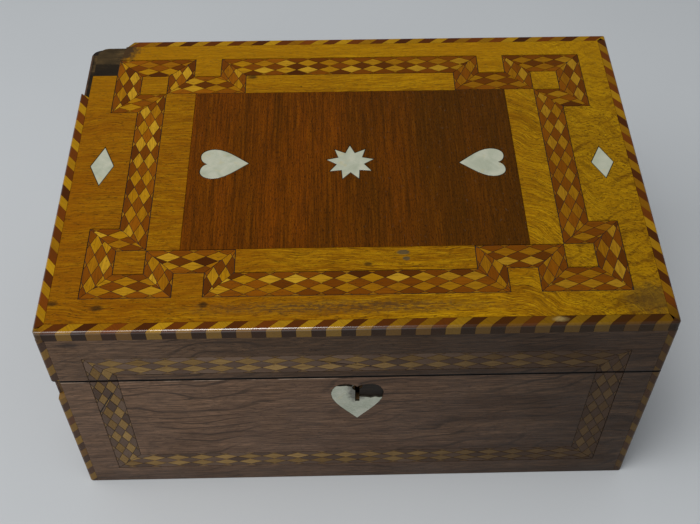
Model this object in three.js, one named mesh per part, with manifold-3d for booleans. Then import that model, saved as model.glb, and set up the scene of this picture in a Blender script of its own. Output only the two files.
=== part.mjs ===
// A hinged wooden box of the nineteenth century: softwood boards veneered with walnut and a golden
// figured wood, bands of diamond parquetry, two-colour edging strips, and inlays of pearl shell.
// Millimetres, +Z up, +X along the front to the right, origin under the middle of the box.
import * as THREE from "three";
import { mergeVertices } from "three/addons/utils/BufferGeometryUtils.js";
import Module from "manifold-3d";

const wasm = await Module();
wasm.setup();

// Overall sizes
const LENGTH = 300;
const DEPTH = 207.6;
const HEIGHT = 143.2;
const LID_HEIGHT = 41.1; // from the middle of the gap between base and lid to the top
const SEAM_GAP = 0.8;

// Boards and veneers
const WALL = 9;
const BOTTOM = 7;
const LID_BOARD = 9;
const VENEER = 1;
const GLUE = 0.05; // a glue line between two faces
const JOINT = 0.1; // half of the line between two veneers that meet edge to edge
const FLOOR_CLEARANCE = 0.3; // veneers and corner strips stop this far above the boards' lower edge

// Two-colour strips: upright ones at the corners, and the edging round the top
const STRIP = 4.5;
const STRIP_ROUND = 1.8;
const EDGING_WIDTH = 5;
const EDGING_HEIGHT = 6.4;
const EDGING_ROUND = 1.4;
const CORNER_ROUND = 2.2; // wear of the lid's corners, seen from above

// Parquetry of the top: one closed band that makes a square key at each corner
const BAND = 14.6;
const SIDE_MARGIN = 13.6; // from the edging to the band
const FRONT_MARGIN = 14.3;
const BACK_MARGIN = 11.8;
const SIDE_FIELD = 16.4; // width of the golden pieces at the two ends of the middle panel

// Parquetry of the front: a frame that the seam cuts through
const FRAME_BAND = 14;
const FRAME_FROM_SIDE = 18.8;
const FRAME_FROM_FLOOR = 14.6;
const FRAME_ABOVE_SEAM = 5.3; // from the seam to the lower edge of the lid's part of the frame

// Shell inlays of the top, each let in as deep as the veneer
const INLAY_GAP = 0.2;
const LOZENGES = {
  left: { width: 12.4, height: 28.2, up: 2.7 },
  right: { width: 11.9, height: 23.4, up: 0.3 },
};
const HEARTS = {
  left: { width: 21.6, length: 25.7, up: 3.1 },
  right: { width: 20.5, length: 24.2, up: 1.5 },
};
const HEART_FROM_PANEL_END = 6;
const STAR_POINTS = 9;
const STAR_OUTER = 13;
const STAR_INNER = 7.5;
const STAR_ACROSS = -1.2;
const STAR_UP = 2.8;

// Keyhole, its shell escutcheon and the lock behind it
const ESCUTCHEON_WIDTH = 26.2;
const ESCUTCHEON_LENGTH = 32;
const ESCUTCHEON_BELOW_SEAM = 6.7;
const KEYHOLE_RADIUS = 2.7;
const KEYHOLE_SLOT = 2.3;
const KEYHOLE_BELOW_SEAM = 9.9;
const KEYHOLE_DROP = 12.6;
const LOCK_LENGTH = 54;
const LOCK_HEIGHT = 36;
const LOCK_DEPTH = 4.5;
const LOCK_PLATE = 1.4;
const LOCK_PLATE_WIDTH = 7;
const STAPLE_LENGTH = 9;
const STAPLE_WIDTH = 2;
const STAPLE_DROP = 6;
const STAPLE_CLEARANCE = 0.8;

// Butt hinges let into the back edges, and the bevels that stop the lid
const HINGE_FROM_END = 60; // from the box's end to the middle of a hinge
const PIN_INSET = 2.5; // from the back face to the pin's axis
const PIN_RADIUS = 0.9;
const PIN_CLEARANCE = 0.25;
const KNUCKLE_RADIUS = 2.3;
const KNUCKLE_GAP = 0.4;
const LEAF_LENGTH = 38;
const LEAF_WIDTH = 7.2; // from the pin's axis to the leaf's inner edge
const LEAF = 1.2;
const HINGE_CLEARANCE = 0.3;
const STOP_BEVEL = 48; // degrees; twice this is where the lid would stop

// What has broken away
const LOST_EDGING_BACK = 24;
const LOST_EDGING_SIDE = 46;
const LOST_FIELD_BACK = 17;
const LOST_FIELD_SIDE = 25;
const LOST_STRIP = 15; // of the base's front left corner strip, from the seam down
const WORN_GROUND = 6; // wear of the bare corner under the lost edging
const BREAK_SLANT = 0.8; // slant of a break, along the strip for each mm across it

// Places worked out from the sizes
const halfLength = LENGTH / 2;
const halfDepth = DEPTH / 2;
const seam = HEIGHT - LID_HEIGHT;
const baseTop = seam - SEAM_GAP / 2;
const lidBottom = seam + SEAM_GAP / 2;
const groundLength = halfLength - VENEER; // half sizes of the boards' outer faces
const groundDepth = halfDepth - VENEER;
const roomLength = groundLength - WALL; // half sizes of the space inside
const roomDepth = groundDepth - WALL;
const groundTop = HEIGHT - VENEER;
const lidCeiling = groundTop - LID_BOARD;
const edgingFoot = HEIGHT - EDGING_HEIGHT;
const fieldLength = halfLength - EDGING_WIDTH;
const fieldDepth = halfDepth - EDGING_WIDTH;
const axisY = halfDepth - PIN_INSET;
const bandEnd = fieldLength - SIDE_MARGIN;
const bandFront = -fieldDepth + FRONT_MARGIN;
const bandBack = fieldDepth - BACK_MARGIN;
const panelEnd = bandEnd - 2 * BAND - SIDE_FIELD;
const panelFront = bandFront + 2 * BAND;
const panelBack = bandBack - 2 * BAND;
const frameEnd = halfLength - FRAME_FROM_SIDE;
const frameTop = seam + FRAME_ABOVE_SEAM + FRAME_BAND;
const keyholeZ = seam - KEYHOLE_BELOW_SEAM;
const REACH = 5; // how far a cutting block runs past the face that it cuts
const ROUND_STEPS = 4;

// Finishes, named for the real materials
const finish = (color, roughness, metalness = 0) =>
  new THREE.MeshStandardMaterial({ color, roughness, metalness });
const softwood = () => finish(0x5a4632, 0.8);
const walnut = () => finish(0x57453a, 0.45);
const goldenWood = () => finish(0xa27414, 0.4);
const mahogany = () => finish(0x5c300b, 0.4);
const parquetryWood = () => finish(0x9a6a2e, 0.42);
const edgingWood = () => finish(0x80592a, 0.38);
const shell = () => finish(0xc3c9b8, 0.22);
const brass = () => finish(0x9c7a3c, 0.4, 1);

const box = new THREE.Group();
const base = new THREE.Group();
const lid = new THREE.Group();
box.add(base, lid);

function piece(body, name, geometry, material) {
  const mesh = new THREE.Mesh(geometry, material);
  mesh.name = name;
  body.add(mesh);
}

// Solid shapes: blocks, plates cut from an outline, and joins and cuts of them
function block([x0, x1], [y0, y1], [z0, z1]) {
  const made = new THREE.BoxGeometry(x1 - x0, y1 - y0, z1 - z0);
  return made.translate((x0 + x1) / 2, (y0 + y1) / 2, (z0 + z1) / 2);
}

const outline = (points) => new THREE.Shape(points.map(([x, y]) => new THREE.Vector2(x, y)));
const rectangle = (x0, x1, y0, y1) => [[x0, y0], [x1, y0], [x1, y1], [x0, y1]];

function withHoles(points, holes) {
  const shape = outline(points);
  shape.holes = holes.map(outline);
  return shape;
}

function extruded(shape, depth) {
  return new THREE.ExtrudeGeometry(shape, { depth, bevelEnabled: false, curveSegments: ROUND_STEPS });
}

// A plate that lies flat, between two heights
const flatPlate = (shape, z0, z1) => extruded(shape, z1 - z0).translate(0, 0, z0);

// A plate that stands in the front face: the outline is drawn as x and height
function frontPlate(shape, y0, y1) {
  return extruded(shape, y1 - y0).rotateX(Math.PI / 2).translate(0, y1, 0);
}

// A bar along X whose section is drawn as depth and height
function barAlongX(shape, x0, x1) {
  const [x, y, z] = [new THREE.Vector3(1, 0, 0), new THREE.Vector3(0, 1, 0), new THREE.Vector3(0, 0, 1)];
  return extruded(shape, x1 - x0).applyMatrix4(new THREE.Matrix4().makeBasis(y, z, x)).translate(x0, 0, 0);
}

function solidOf(geometry) {
  const bare = geometry.clone();
  bare.deleteAttribute("normal");
  bare.deleteAttribute("uv");
  const merged = mergeVertices(bare, 1e-4);
  const triVerts = new Uint32Array(merged.index.array);
  const vertProperties = merged.attributes.position.array;
  return new wasm.Manifold(new wasm.Mesh({ numProp: 3, vertProperties, triVerts }));
}

function geometryOf(solid) {
  const mesh = solid.getMesh();
  const made = new THREE.BufferGeometry();
  made.setAttribute("position", new THREE.BufferAttribute(new Float32Array(mesh.vertProperties), 3));
  made.setIndex(new THREE.BufferAttribute(new Uint32Array(mesh.triVerts), 1));
  made.computeVertexNormals();
  return made;
}

function cut(geometry, ...tools) {
  return geometryOf(tools.reduce((left, tool) => left.subtract(solidOf(tool)), solidOf(geometry)));
}

function joined(...geometries) {
  return geometryOf(geometries.map(solidOf).reduce((a, b) => a.add(b)));
}

const common = (a, b) => geometryOf(solidOf(a).intersect(solidOf(b)));

// A rectangle from above with each corner rounded by its own radius, from front left anticlockwise
function roundedRectangle(halfX, halfY, radii) {
  const corners = [[-1, -1], [1, -1], [1, 1], [-1, 1]];
  return corners.flatMap(([sx, sy], corner) => {
    const r = radii[corner];
    const first = Math.PI * (1 + corner / 2);
    return Array.from({ length: ROUND_STEPS + 1 }, (_, step) => {
      const angle = first + (step / ROUND_STEPS) * (Math.PI / 2);
      return [sx * (halfX - r) + r * Math.cos(angle), sy * (halfY - r) + r * Math.sin(angle)];
    });
  });
}

// The hinge bevel: the base loses what lies above it and the lid what lies below it
function stopBevel(edge, up) {
  const fall = Math.tan(THREE.MathUtils.degToRad(STOP_BEVEL));
  const past = halfDepth + REACH;
  const section = outline([
    [axisY, edge], [past, edge - up * fall * (past - axisY)], [past, edge + up * REACH],
    [axisY, edge + up * REACH],
  ]);
  return barAlongX(section, -halfLength - REACH, halfLength + REACH);
}

const hingeCentres = [HINGE_FROM_END - halfLength, halfLength - HINGE_FROM_END];

// The seats of the two hinges in a back edge: a shallow one for the leaf, a deeper one for the knuckles
function hingeSeats(edge, up) {
  const half = LEAF_LENGTH / 2 + HINGE_CLEARANCE;
  const barrel = KNUCKLE_RADIUS + HINGE_CLEARANCE;
  const between = (a, b) => [Math.min(a, b), Math.max(a, b)];
  return hingeCentres.flatMap((x) => [
    block([x - half, x + half], [axisY - LEAF_WIDTH - HINGE_CLEARANCE, halfDepth + REACH],
      between(edge - up * (LEAF + GLUE), edge + up * REACH)),
    block([x - half, x + half], [axisY - barrel, halfDepth + REACH],
      between(seam - up * barrel, seam + up * REACH)),
  ]);
}

// Carcase boards. Front and back run the full length, notched for the corner strips.
function longBoard(side, z0, z1) {
  const notch = STRIP - VENEER + GLUE;
  const [x1, y1] = [groundLength, groundDepth];
  const points = [
    [-x1 + notch, y1], [-x1 + notch, y1 - notch], [-x1, y1 - notch], [-x1, roomDepth],
    [x1, roomDepth], [x1, y1 - notch], [x1 - notch, y1 - notch], [x1 - notch, y1],
  ];
  return flatPlate(outline(points.map(([x, y]) => [x, side * y])), z0, z1);
}

function endBoard(side, z0, z1) {
  const ends = [side * roomLength, side * groundLength].sort((a, b) => a - b);
  return block(ends, [-roomDepth + GLUE, roomDepth - GLUE], [z0, z1]);
}

function keyholeOutline(clearance) {
  const radius = KEYHOLE_RADIUS + clearance;
  const slot = KEYHOLE_SLOT / 2 + clearance;
  const spread = Math.asin(slot / radius);
  const steps = 16;
  const round = Array.from({ length: steps + 1 }, (_, step) => {
    const angle = -Math.PI / 2 + spread + (step / steps) * (2 * Math.PI - 2 * spread);
    return [radius * Math.cos(angle), keyholeZ + radius * Math.sin(angle)];
  });
  return [...round, [-slot, keyholeZ - KEYHOLE_DROP], [slot, keyholeZ - KEYHOLE_DROP]];
}

const keyholeTool = (clearance) =>
  frontPlate(outline(keyholeOutline(clearance)), -halfDepth - REACH, -roomDepth - LOCK_DEPTH + LOCK_PLATE);

// The space that the lock fills, with a clearance round it
function lockBlocks(clearance, top) {
  const half = LOCK_LENGTH / 2 + clearance;
  const inner = -roomDepth + (top > baseTop ? REACH : 0);
  return [
    block([-half, half], [-roomDepth - LOCK_DEPTH - clearance, inner],
      [baseTop - LOCK_HEIGHT - clearance, top]),
    block([-half, half], [-roomDepth - LOCK_PLATE_WIDTH - clearance, inner],
      [baseTop - LOCK_PLATE - clearance, top]),
  ];
}

function addBoards() {
  const frontWithLock = cut(longBoard(-1, 0, baseTop), ...lockBlocks(GLUE, baseTop + REACH), keyholeTool(0));
  piece(base, "base_bottom_board",
    block([-roomLength + GLUE, roomLength - GLUE], [-roomDepth + GLUE, roomDepth - GLUE], [0, BOTTOM]),
    softwood());
  piece(base, "base_front_board", frontWithLock, softwood());
  piece(base, "base_back_board",
    cut(longBoard(1, 0, baseTop), stopBevel(baseTop, 1), ...hingeSeats(baseTop, 1)), softwood());
  piece(lid, "lid_front_board",
    cut(longBoard(-1, lidBottom, lidCeiling), linkPlateSeat()), softwood());
  piece(lid, "lid_back_board",
    cut(longBoard(1, lidBottom, lidCeiling), stopBevel(lidBottom, -1), ...hingeSeats(lidBottom, -1)),
    softwood());
  for (const [name, side] of [["left", -1], ["right", 1]]) {
    piece(base, `base_${name}_board`, endBoard(side, 0, baseTop), softwood());
    piece(lid, `lid_${name}_board`, endBoard(side, lidBottom, lidCeiling), softwood());
  }
}

// The lid's top board lies on the four sides; its edge is rebated for the edging
function addTopBoard() {
  const notch = STRIP - VENEER + GLUE;
  const foot = roundedRectangle(groundLength, groundDepth, Array(4).fill(GLUE));
  const head = roundedRectangle(fieldLength - GLUE, fieldDepth - GLUE, [GLUE, GLUE, GLUE, WORN_GROUND]);
  const corners = [[-1, -1], [1, -1], [1, 1], [-1, 1]].map(([sx, sy]) => {
    const xs = [sx * (groundLength - notch), sx * halfLength].sort((a, b) => a - b);
    const ys = [sy * (groundDepth - notch), sy * halfDepth].sort((a, b) => a - b);
    return block(xs, ys, [lidCeiling - REACH, edgingFoot + REACH]);
  });
  const lower = cut(flatPlate(outline(foot), lidCeiling + GLUE, edgingFoot - GLUE), ...corners);
  const upper = flatPlate(outline(head), lidCeiling + GLUE, groundTop);
  piece(lid, "lid_top_board", joined(lower, upper), softwood());
}

// Walnut on the sides and the back, between the corner strips
function addWalnutSides() {
  const bands = [[base, "base", FLOOR_CLEARANCE, baseTop], [lid, "lid", lidBottom, edgingFoot - GLUE]];
  for (const [body, name, z0, z1] of bands) {
    for (const [end, side] of [["left", -1], ["right", 1]]) {
      const xs = [side * (groundLength + GLUE), side * halfLength].sort((a, b) => a - b);
      const half = halfDepth - STRIP - JOINT;
      piece(body, `${name}_${end}_veneer`, block(xs, [-half, half], [z0, z1]), walnut());
    }
    const half = halfLength - STRIP - JOINT;
    const sheet = block([-half, half], [groundDepth + GLUE, halfDepth], [z0, z1]);
    const [edge, up] = body === base ? [baseTop, 1] : [lidBottom, -1];
    piece(body, `${name}_back_veneer`, cut(sheet, stopBevel(edge, up), ...hingeSeats(edge, up)), walnut());
  }
}

// The front is laid as whole pieces, walnut outside and inside a frame of parquetry, and then sawn
// apart at the seam
function sawn(whole, z0, z1) {
  const far = halfLength + REACH;
  return common(whole, block([-far, far], [-halfDepth - REACH, 0], [z0, z1]));
}

function frameRectangle(inset) {
  const half = frameEnd - inset;
  return rectangle(-half, half, FRAME_FROM_FLOOR + inset, frameTop - inset);
}

function addFront() {
  const [y0, y1] = [-halfDepth, -groundDepth - GLUE];
  const half = halfLength - STRIP - JOINT;
  const face = rectangle(-half, half, FLOOR_CLEARANCE, edgingFoot - GLUE);
  const shapes = {
    border: [withHoles(face, [frameRectangle(-JOINT)]), walnut],
    band: [withHoles(frameRectangle(0), [frameRectangle(FRAME_BAND)]), parquetryWood],
    field: [withHoles(frameRectangle(FRAME_BAND + JOINT), [escutcheonOutline(INLAY_GAP)]), walnut],
  };
  for (const [name, [shape, material]] of Object.entries(shapes)) {
    const whole = frontPlate(shape, y0, y1);
    piece(base, `base_front_${name}`, sawn(whole, 0, baseTop), material());
    piece(lid, `lid_front_${name}`, sawn(whole, lidBottom, HEIGHT), material());
  }
}

// Upright corner strips, square, with the outer arris worn round
function cornerStrip(sx, sy, z0, z1) {
  const round = Array.from({ length: ROUND_STEPS + 1 }, (_, step) => {
    const angle = (step / ROUND_STEPS) * (Math.PI / 2);
    return [STRIP_ROUND * (1 - Math.sin(angle)), STRIP_ROUND * (1 - Math.cos(angle))];
  });
  const section = [...round, [0, STRIP], [STRIP, STRIP], [STRIP, 0]];
  return flatPlate(outline(section.map(([a, b]) => [sx * (halfLength - a), sy * (halfDepth - b)])), z0, z1);
}

// What is missing of the front left strip: it broke along a slanted joint
function brokenStripEnd() {
  const low = baseTop - LOST_STRIP;
  const [x0, x1] = [-halfLength - REACH, -halfLength + STRIP + REACH];
  const rise = (x) => low + BREAK_SLANT * (x + halfLength - STRIP / 2);
  const section = outline([[x0, rise(x0)], [x1, rise(x1)], [x1, baseTop + REACH], [x0, baseTop + REACH]]);
  return frontPlate(section, -halfDepth - REACH, -halfDepth + STRIP + REACH);
}

function addCornerStrips() {
  const corners = [
    ["front_left", -1, -1], ["front_right", 1, -1], ["back_left", -1, 1], ["back_right", 1, 1],
  ];
  for (const [name, sx, sy] of corners) {
    const low = cornerStrip(sx, sy, FLOOR_CLEARANCE, baseTop);
    const high = cornerStrip(sx, sy, lidBottom, edgingFoot - GLUE);
    const broken = name === "front_left" ? cut(low, brokenStripEnd()) : low;
    piece(base, `base_${name}_strip`, sy > 0 ? cut(low, stopBevel(baseTop, 1)) : broken, edgingWood());
    piece(lid, `lid_${name}_strip`, sy > 0 ? cut(high, stopBevel(lidBottom, -1)) : high, edgingWood());
  }
}

// Edging: a bar with its outer arris rounded, run along one side from start to end, where both
// depend on the distance inwards, so that the ends can be mitred or broken on a slant
function edgingBar(quarter, start, end) {
  const inner = EDGING_WIDTH - GLUE;
  const round = Array.from({ length: ROUND_STEPS + 1 }, (_, step) => {
    const angle = (step / ROUND_STEPS) * (Math.PI / 2);
    return [EDGING_ROUND * (1 - Math.cos(angle)), HEIGHT - EDGING_ROUND * (1 - Math.sin(angle))];
  });
  const section = [[0, edgingFoot], [inner, edgingFoot], [inner, HEIGHT], ...round.reverse()];
  const bar = extruded(outline(section), 1);
  const across = quarter % 2 ? halfLength : halfDepth;
  const spots = bar.attributes.position;
  const turn = new THREE.Matrix4().makeRotationZ((quarter * Math.PI) / 2);
  for (let i = 0; i < spots.count; i++) {
    const inward = spots.getX(i);
    const run = spots.getZ(i) < 0.5 ? start(inward) : end(inward);
    spots.setXYZ(i, run, inward - across, spots.getY(i));
  }
  return bar.applyMatrix4(turn);
}

function addEdging() {
  const worn = roundedRectangle(halfLength, halfDepth, Array(4).fill(CORNER_ROUND));
  const wearTool = flatPlate(outline(worn), edgingFoot - REACH, HEIGHT + REACH);
  const mitreFrom = (half) => (inward) => -half + inward + JOINT;
  const mitreTo = (half) => (inward) => half - inward - JOINT;
  const breakBack = (inward) => halfLength - LOST_EDGING_BACK + BREAK_SLANT * (inward - EDGING_WIDTH / 2);
  const breakSide = (inward) => -halfDepth + LOST_EDGING_SIDE + BREAK_SLANT * (inward - EDGING_WIDTH / 2);
  const runs = [
    ["front", mitreFrom(halfLength), mitreTo(halfLength)],
    ["right", mitreFrom(halfDepth), mitreTo(halfDepth)],
    ["back", mitreFrom(halfLength), breakBack],
    ["left", breakSide, mitreTo(halfDepth)],
  ];
  runs.forEach(([name, start, end], quarter) =>
    piece(lid, `top_edging_${name}`, common(edgingBar(quarter, start, end), wearTool), edgingWood()));
}

// Corners of the closed band's middle line, for the front left quarter: along the left side, then
// out, forward, inwards, back, inwards and forward again, each step a whole number of band widths
function quarterPath(mirrorX, edgeY, up) {
  const cells = [[1, 2], [0, 2], [0, 0], [2, 0], [2, 1], [4, 1], [4, 0]];
  return cells.map(([column, row]) =>
    [mirrorX * (bandEnd - (column + 0.5) * BAND), edgeY + up * (row + 0.5) * BAND]);
}

function bandPath() {
  return [
    ...quarterPath(-1, bandFront, 1), ...quarterPath(1, bandFront, 1).reverse(),
    ...quarterPath(1, bandBack, -1), ...quarterPath(-1, bandBack, -1).reverse(),
  ];
}

// The path moved sideways: every corner is square, so it moves along both its sides' normals
function movedAside(path, distance) {
  return path.map(([x, y], i) => {
    const [px, py] = path[(i + path.length - 1) % path.length];
    const [nx, ny] = path[(i + 1) % path.length];
    const before = [Math.sign(y - py), -Math.sign(x - px)];
    const after = [Math.sign(ny - y), -Math.sign(nx - x)];
    return [x + (before[0] + after[0]) * distance, y + (before[1] + after[1]) * distance];
  });
}

function addTopParquetry() {
  const half = BAND / 2 - JOINT;
  const ring = withHoles(movedAside(bandPath(), half), [movedAside(bandPath(), -half)]);
  piece(lid, "top_parquetry_band", flatPlate(ring, groundTop + GLUE, HEIGHT), parquetryWood());
}

// Golden wood outside the band, lost at the back left corner
function addOuterField() {
  const [halfX, halfY] = [fieldLength - JOINT, fieldDepth - JOINT];
  const sheet = withHoles(rectangle(-halfX, halfX, -halfY, halfY), [
    movedAside(bandPath(), BAND / 2 + JOINT),
    lozengeOutline("left", INLAY_GAP),
    lozengeOutline("right", INLAY_GAP),
  ]);
  const [x, y] = [-fieldLength, fieldDepth];
  const lost = outline([
    [x - REACH, y - LOST_FIELD_SIDE], [-bandEnd, y - LOST_FIELD_SIDE - JOINT], [-bandEnd, bandBack - JOINT],
    [x + LOST_FIELD_BACK - JOINT - LOST_FIELD_BACK / 8, bandBack + BACK_MARGIN / 4],
    [x + LOST_FIELD_BACK, y + REACH], [x - REACH, y + REACH],
  ]);
  const plate = flatPlate(sheet, groundTop + GLUE, HEIGHT);
  piece(lid, "top_outer_field", cut(plate, flatPlate(lost, groundTop - REACH, HEIGHT + REACH)), goldenWood());
}

// Golden wood inside the band: two long pieces, two end pieces and four corner squares
function addInnerFields() {
  const field = (name, x0, x1, y0, y1) =>
    piece(lid, name, block([x0 + JOINT, x1 - JOINT], [y0 + JOINT, y1 - JOINT],
      [groundTop + GLUE, HEIGHT]), goldenWood());
  const longEnd = bandEnd - 5 * BAND;
  field("top_field_front", -longEnd, longEnd, bandFront + BAND, panelFront);
  field("top_field_back", -longEnd, longEnd, panelBack, bandBack - BAND);
  field("top_field_left", -panelEnd - SIDE_FIELD, -panelEnd, panelFront, panelBack);
  field("top_field_right", panelEnd, panelEnd + SIDE_FIELD, panelFront, panelBack);
  const rows = [["front", bandFront + BAND], ["back", bandBack - 2 * BAND]];
  const columns = [["left", -bandEnd + BAND], ["right", bandEnd - 2 * BAND]];
  for (const [row, y] of rows)
    for (const [column, x] of columns) field(`top_square_${row}_${column}`, x, x + BAND, y, y + BAND);
}

// Outlines of the inlays. A clearance widens one about its own middle.
function lozengeOutline(side, clearance) {
  const { width, height, up } = LOZENGES[side];
  const x = (side === "left" ? -1 : 1) * (fieldLength + bandEnd - BAND) / 2;
  const grow = 1 + (2 * clearance) / width;
  const [a, b] = [(grow * width) / 2, (grow * height) / 2];
  return [[x, up - b], [x + a, up], [x, up + b], [x - a, up]];
}

// A heart from its notch round one lobe to the tip at the origin and back, lobes at +y
function heartPoints(width, length, notch) {
  const [half, top] = [width / 2, length];
  const lobe = new THREE.CurvePath();
  const spot = (x, y) => new THREE.Vector2(x * half, y * top);
  const bezier = (...spots) => lobe.add(new THREE.CubicBezierCurve(...spots.map(([x, y]) => spot(x, y))));
  bezier([0, 1 - notch], [0.08, 1 - notch / 3], [0.28, 1], [0.52, 1]);
  bezier([0.52, 1], [0.8, 1], [1, 0.87], [1, 0.72]);
  bezier([1, 0.72], [1, 0.48], [0.42, 0.24], [0, 0]);
  const right = lobe.getPoints(6).map((p) => [p.x, p.y]);
  const left = right.slice(1, -1).reverse().map(([x, y]) => [-x, y]);
  return [...right, ...left].reverse();
}

function grown(points, [cx, cy], grow) {
  return points.map(([x, y]) => [cx + (x - cx) * grow, cy + (y - cy) * grow]);
}

// A heart of the top lies on its side, tip towards the middle
function heartOutline(side, clearance) {
  const { width, length, up } = HEARTS[side];
  const out = side === "left" ? -1 : 1;
  const tip = out * (panelEnd - HEART_FROM_PANEL_END - length);
  const upright = grown(heartPoints(width, length, 0.13), [0, length * 0.6], 1 + (2 * clearance) / width);
  return upright.map(([x, y]) => [tip + out * y, up - out * x]);
}

function starOutline(clearance) {
  const grow = 1 + clearance / STAR_INNER;
  return Array.from({ length: 2 * STAR_POINTS }, (_, i) => {
    const angle = Math.PI / 2 + (i * Math.PI) / STAR_POINTS;
    const radius = grow * (i % 2 ? STAR_INNER : STAR_OUTER);
    return [STAR_ACROSS + radius * Math.cos(angle), STAR_UP + radius * Math.sin(angle)];
  });
}

function addPanelAndShell() {
  const [z0, z1] = [groundTop + GLUE, HEIGHT];
  const panel = rectangle(-panelEnd + JOINT, panelEnd - JOINT, panelFront + JOINT, panelBack - JOINT);
  const holes = [heartOutline("left", INLAY_GAP), heartOutline("right", INLAY_GAP), starOutline(INLAY_GAP)];
  piece(lid, "top_panel", flatPlate(withHoles(panel, holes), z0, z1), mahogany());
  for (const side of ["left", "right"]) {
    piece(lid, `shell_heart_${side}`, flatPlate(outline(heartOutline(side, 0)), z0, z1), shell());
    piece(lid, `shell_lozenge_${side}`, flatPlate(outline(lozengeOutline(side, 0)), z0, z1), shell());
  }
  piece(lid, "shell_star", flatPlate(outline(starOutline(0)), z0, z1), shell());
}

// The keyhole's shell heart has lost its right lobe and a sliver off the left one
const escutcheonTip = seam - ESCUTCHEON_BELOW_SEAM - ESCUTCHEON_LENGTH;

function escutcheonOutline(clearance) {
  const upright = heartPoints(ESCUTCHEON_WIDTH, ESCUTCHEON_LENGTH, 0.08);
  const grow = 1 + (2 * clearance) / ESCUTCHEON_WIDTH;
  return grown(upright, [0, ESCUTCHEON_LENGTH * 0.6], grow)
    .map(([x, z]) => [x, escutcheonTip + z]);
}

function lostShell() {
  const at = ([x, z]) => [(x * ESCUTCHEON_WIDTH) / 2, escutcheonTip + z * ESCUTCHEON_LENGTH];
  const lobe = [
    [0.04, 0.66], [0.14, 0.63], [0.34, 0.62], [0.52, 0.595], [0.7, 0.625], [0.86, 0.6], [1.1, 0.62],
    [1.1, 1.1], [0.04, 1.1],
  ];
  const sliver = [[-0.95, 1.1], [-0.9, 0.955], [-0.66, 0.94], [-0.42, 0.95], [-0.2, 0.925], [-0.12, 1.1]];
  return [lobe, sliver].map((points) =>
    frontPlate(outline(points.map(at)), -halfDepth - REACH, -groundDepth + REACH));
}

function addEscutcheon() {
  const whole = frontPlate(outline(escutcheonOutline(0)), -halfDepth, -groundDepth - GLUE);
  piece(base, "key_escutcheon", cut(whole, keyholeTool(0), ...lostShell()), shell());
}

// The lock, let into the inside of the front board, and the lid's link plate with its staple
const stapleY = -roomDepth - LOCK_DEPTH / 2;

function stapleBlock(clearance, top) {
  const [a, b] = [STAPLE_LENGTH / 2 + clearance, STAPLE_WIDTH / 2 + clearance];
  return block([-a, a], [stapleY - b, stapleY + b], [baseTop - STAPLE_DROP - clearance, top]);
}

function linkPlateSize(clearance) {
  const half = LOCK_LENGTH / 3 + clearance;
  return [[-half, half], [-roomDepth - LOCK_PLATE_WIDTH - clearance, -roomDepth - STAPLE_CLEARANCE / 2]];
}

function linkPlateSeat() {
  const [xs, ys] = linkPlateSize(GLUE);
  return block(xs, [ys[0], -roomDepth + REACH], [lidBottom - REACH, lidBottom + LOCK_PLATE + GLUE]);
}

function addLock() {
  const whole = joined(...lockBlocks(0, baseTop));
  piece(base, "lock", cut(whole, stapleBlock(STAPLE_CLEARANCE, baseTop + REACH), keyholeTool(0)), brass());
  const [xs, ys] = linkPlateSize(0);
  const plate = block(xs, ys, [lidBottom, lidBottom + LOCK_PLATE]);
  piece(lid, "lock_link_plate", joined(plate, stapleBlock(0, lidBottom + LOCK_PLATE / 2)), brass());
}

// Butt hinges: base leaf with the two outer knuckles, lid leaf with the middle one, and the pin
function rod(radius, x0, x1) {
  const sides = 20;
  return new THREE.CylinderGeometry(radius, radius, x1 - x0, sides).rotateZ(Math.PI / 2)
    .translate((x0 + x1) / 2, axisY, seam);
}

function hingeLeaf(x, up, knuckles) {
  const edge = up > 0 ? baseTop : lidBottom;
  const zs = [edge - up * LEAF, edge].sort((a, b) => a - b);
  const meets = axisY - (KNUCKLE_RADIUS + PIN_RADIUS + PIN_CLEARANCE) / 2;
  const barrels = knuckles.map(([x0, x1]) => rod(KNUCKLE_RADIUS, x + x0, x + x1));
  const plate = block([x - LEAF_LENGTH / 2, x + LEAF_LENGTH / 2], [axisY - LEAF_WIDTH, meets], zs);
  const free = rod(KNUCKLE_RADIUS + HINGE_CLEARANCE, x - LEAF_LENGTH, x + LEAF_LENGTH);
  const bore = rod(PIN_RADIUS + PIN_CLEARANCE, x - LEAF_LENGTH, x + LEAF_LENGTH);
  const necks = knuckles.map(([x0, x1]) => block([x + x0, x + x1], [axisY - LEAF_WIDTH, meets], zs));
  return cut(joined(cut(plate, free), ...necks, ...barrels), bore);
}

function addHinges() {
  const [end, inner] = [LEAF_LENGTH / 2, LEAF_LENGTH / 6];
  hingeCentres.forEach((x, i) => {
    const side = ["left", "right"][i];
    const outerKnuckles = [[-end, -inner - KNUCKLE_GAP / 2], [inner + KNUCKLE_GAP / 2, end]];
    const middleKnuckle = [[-inner + KNUCKLE_GAP / 2, inner - KNUCKLE_GAP / 2]];
    piece(base, `hinge_${side}_base_leaf`, hingeLeaf(x, 1, outerKnuckles), brass());
    piece(lid, `hinge_${side}_lid_leaf`, hingeLeaf(x, -1, middleKnuckle), brass());
    piece(base, `hinge_${side}_pin`, rod(PIN_RADIUS, x - end, x + end), brass());
  });
}

addBoards();
addTopBoard();
addWalnutSides();
addFront();
addCornerStrips();
addEdging();
addTopParquetry();
addOuterField();
addInnerFields();
addPanelAndShell();
addEscutcheon();
addLock();
addHinges();

export default box;
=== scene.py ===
import math

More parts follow.
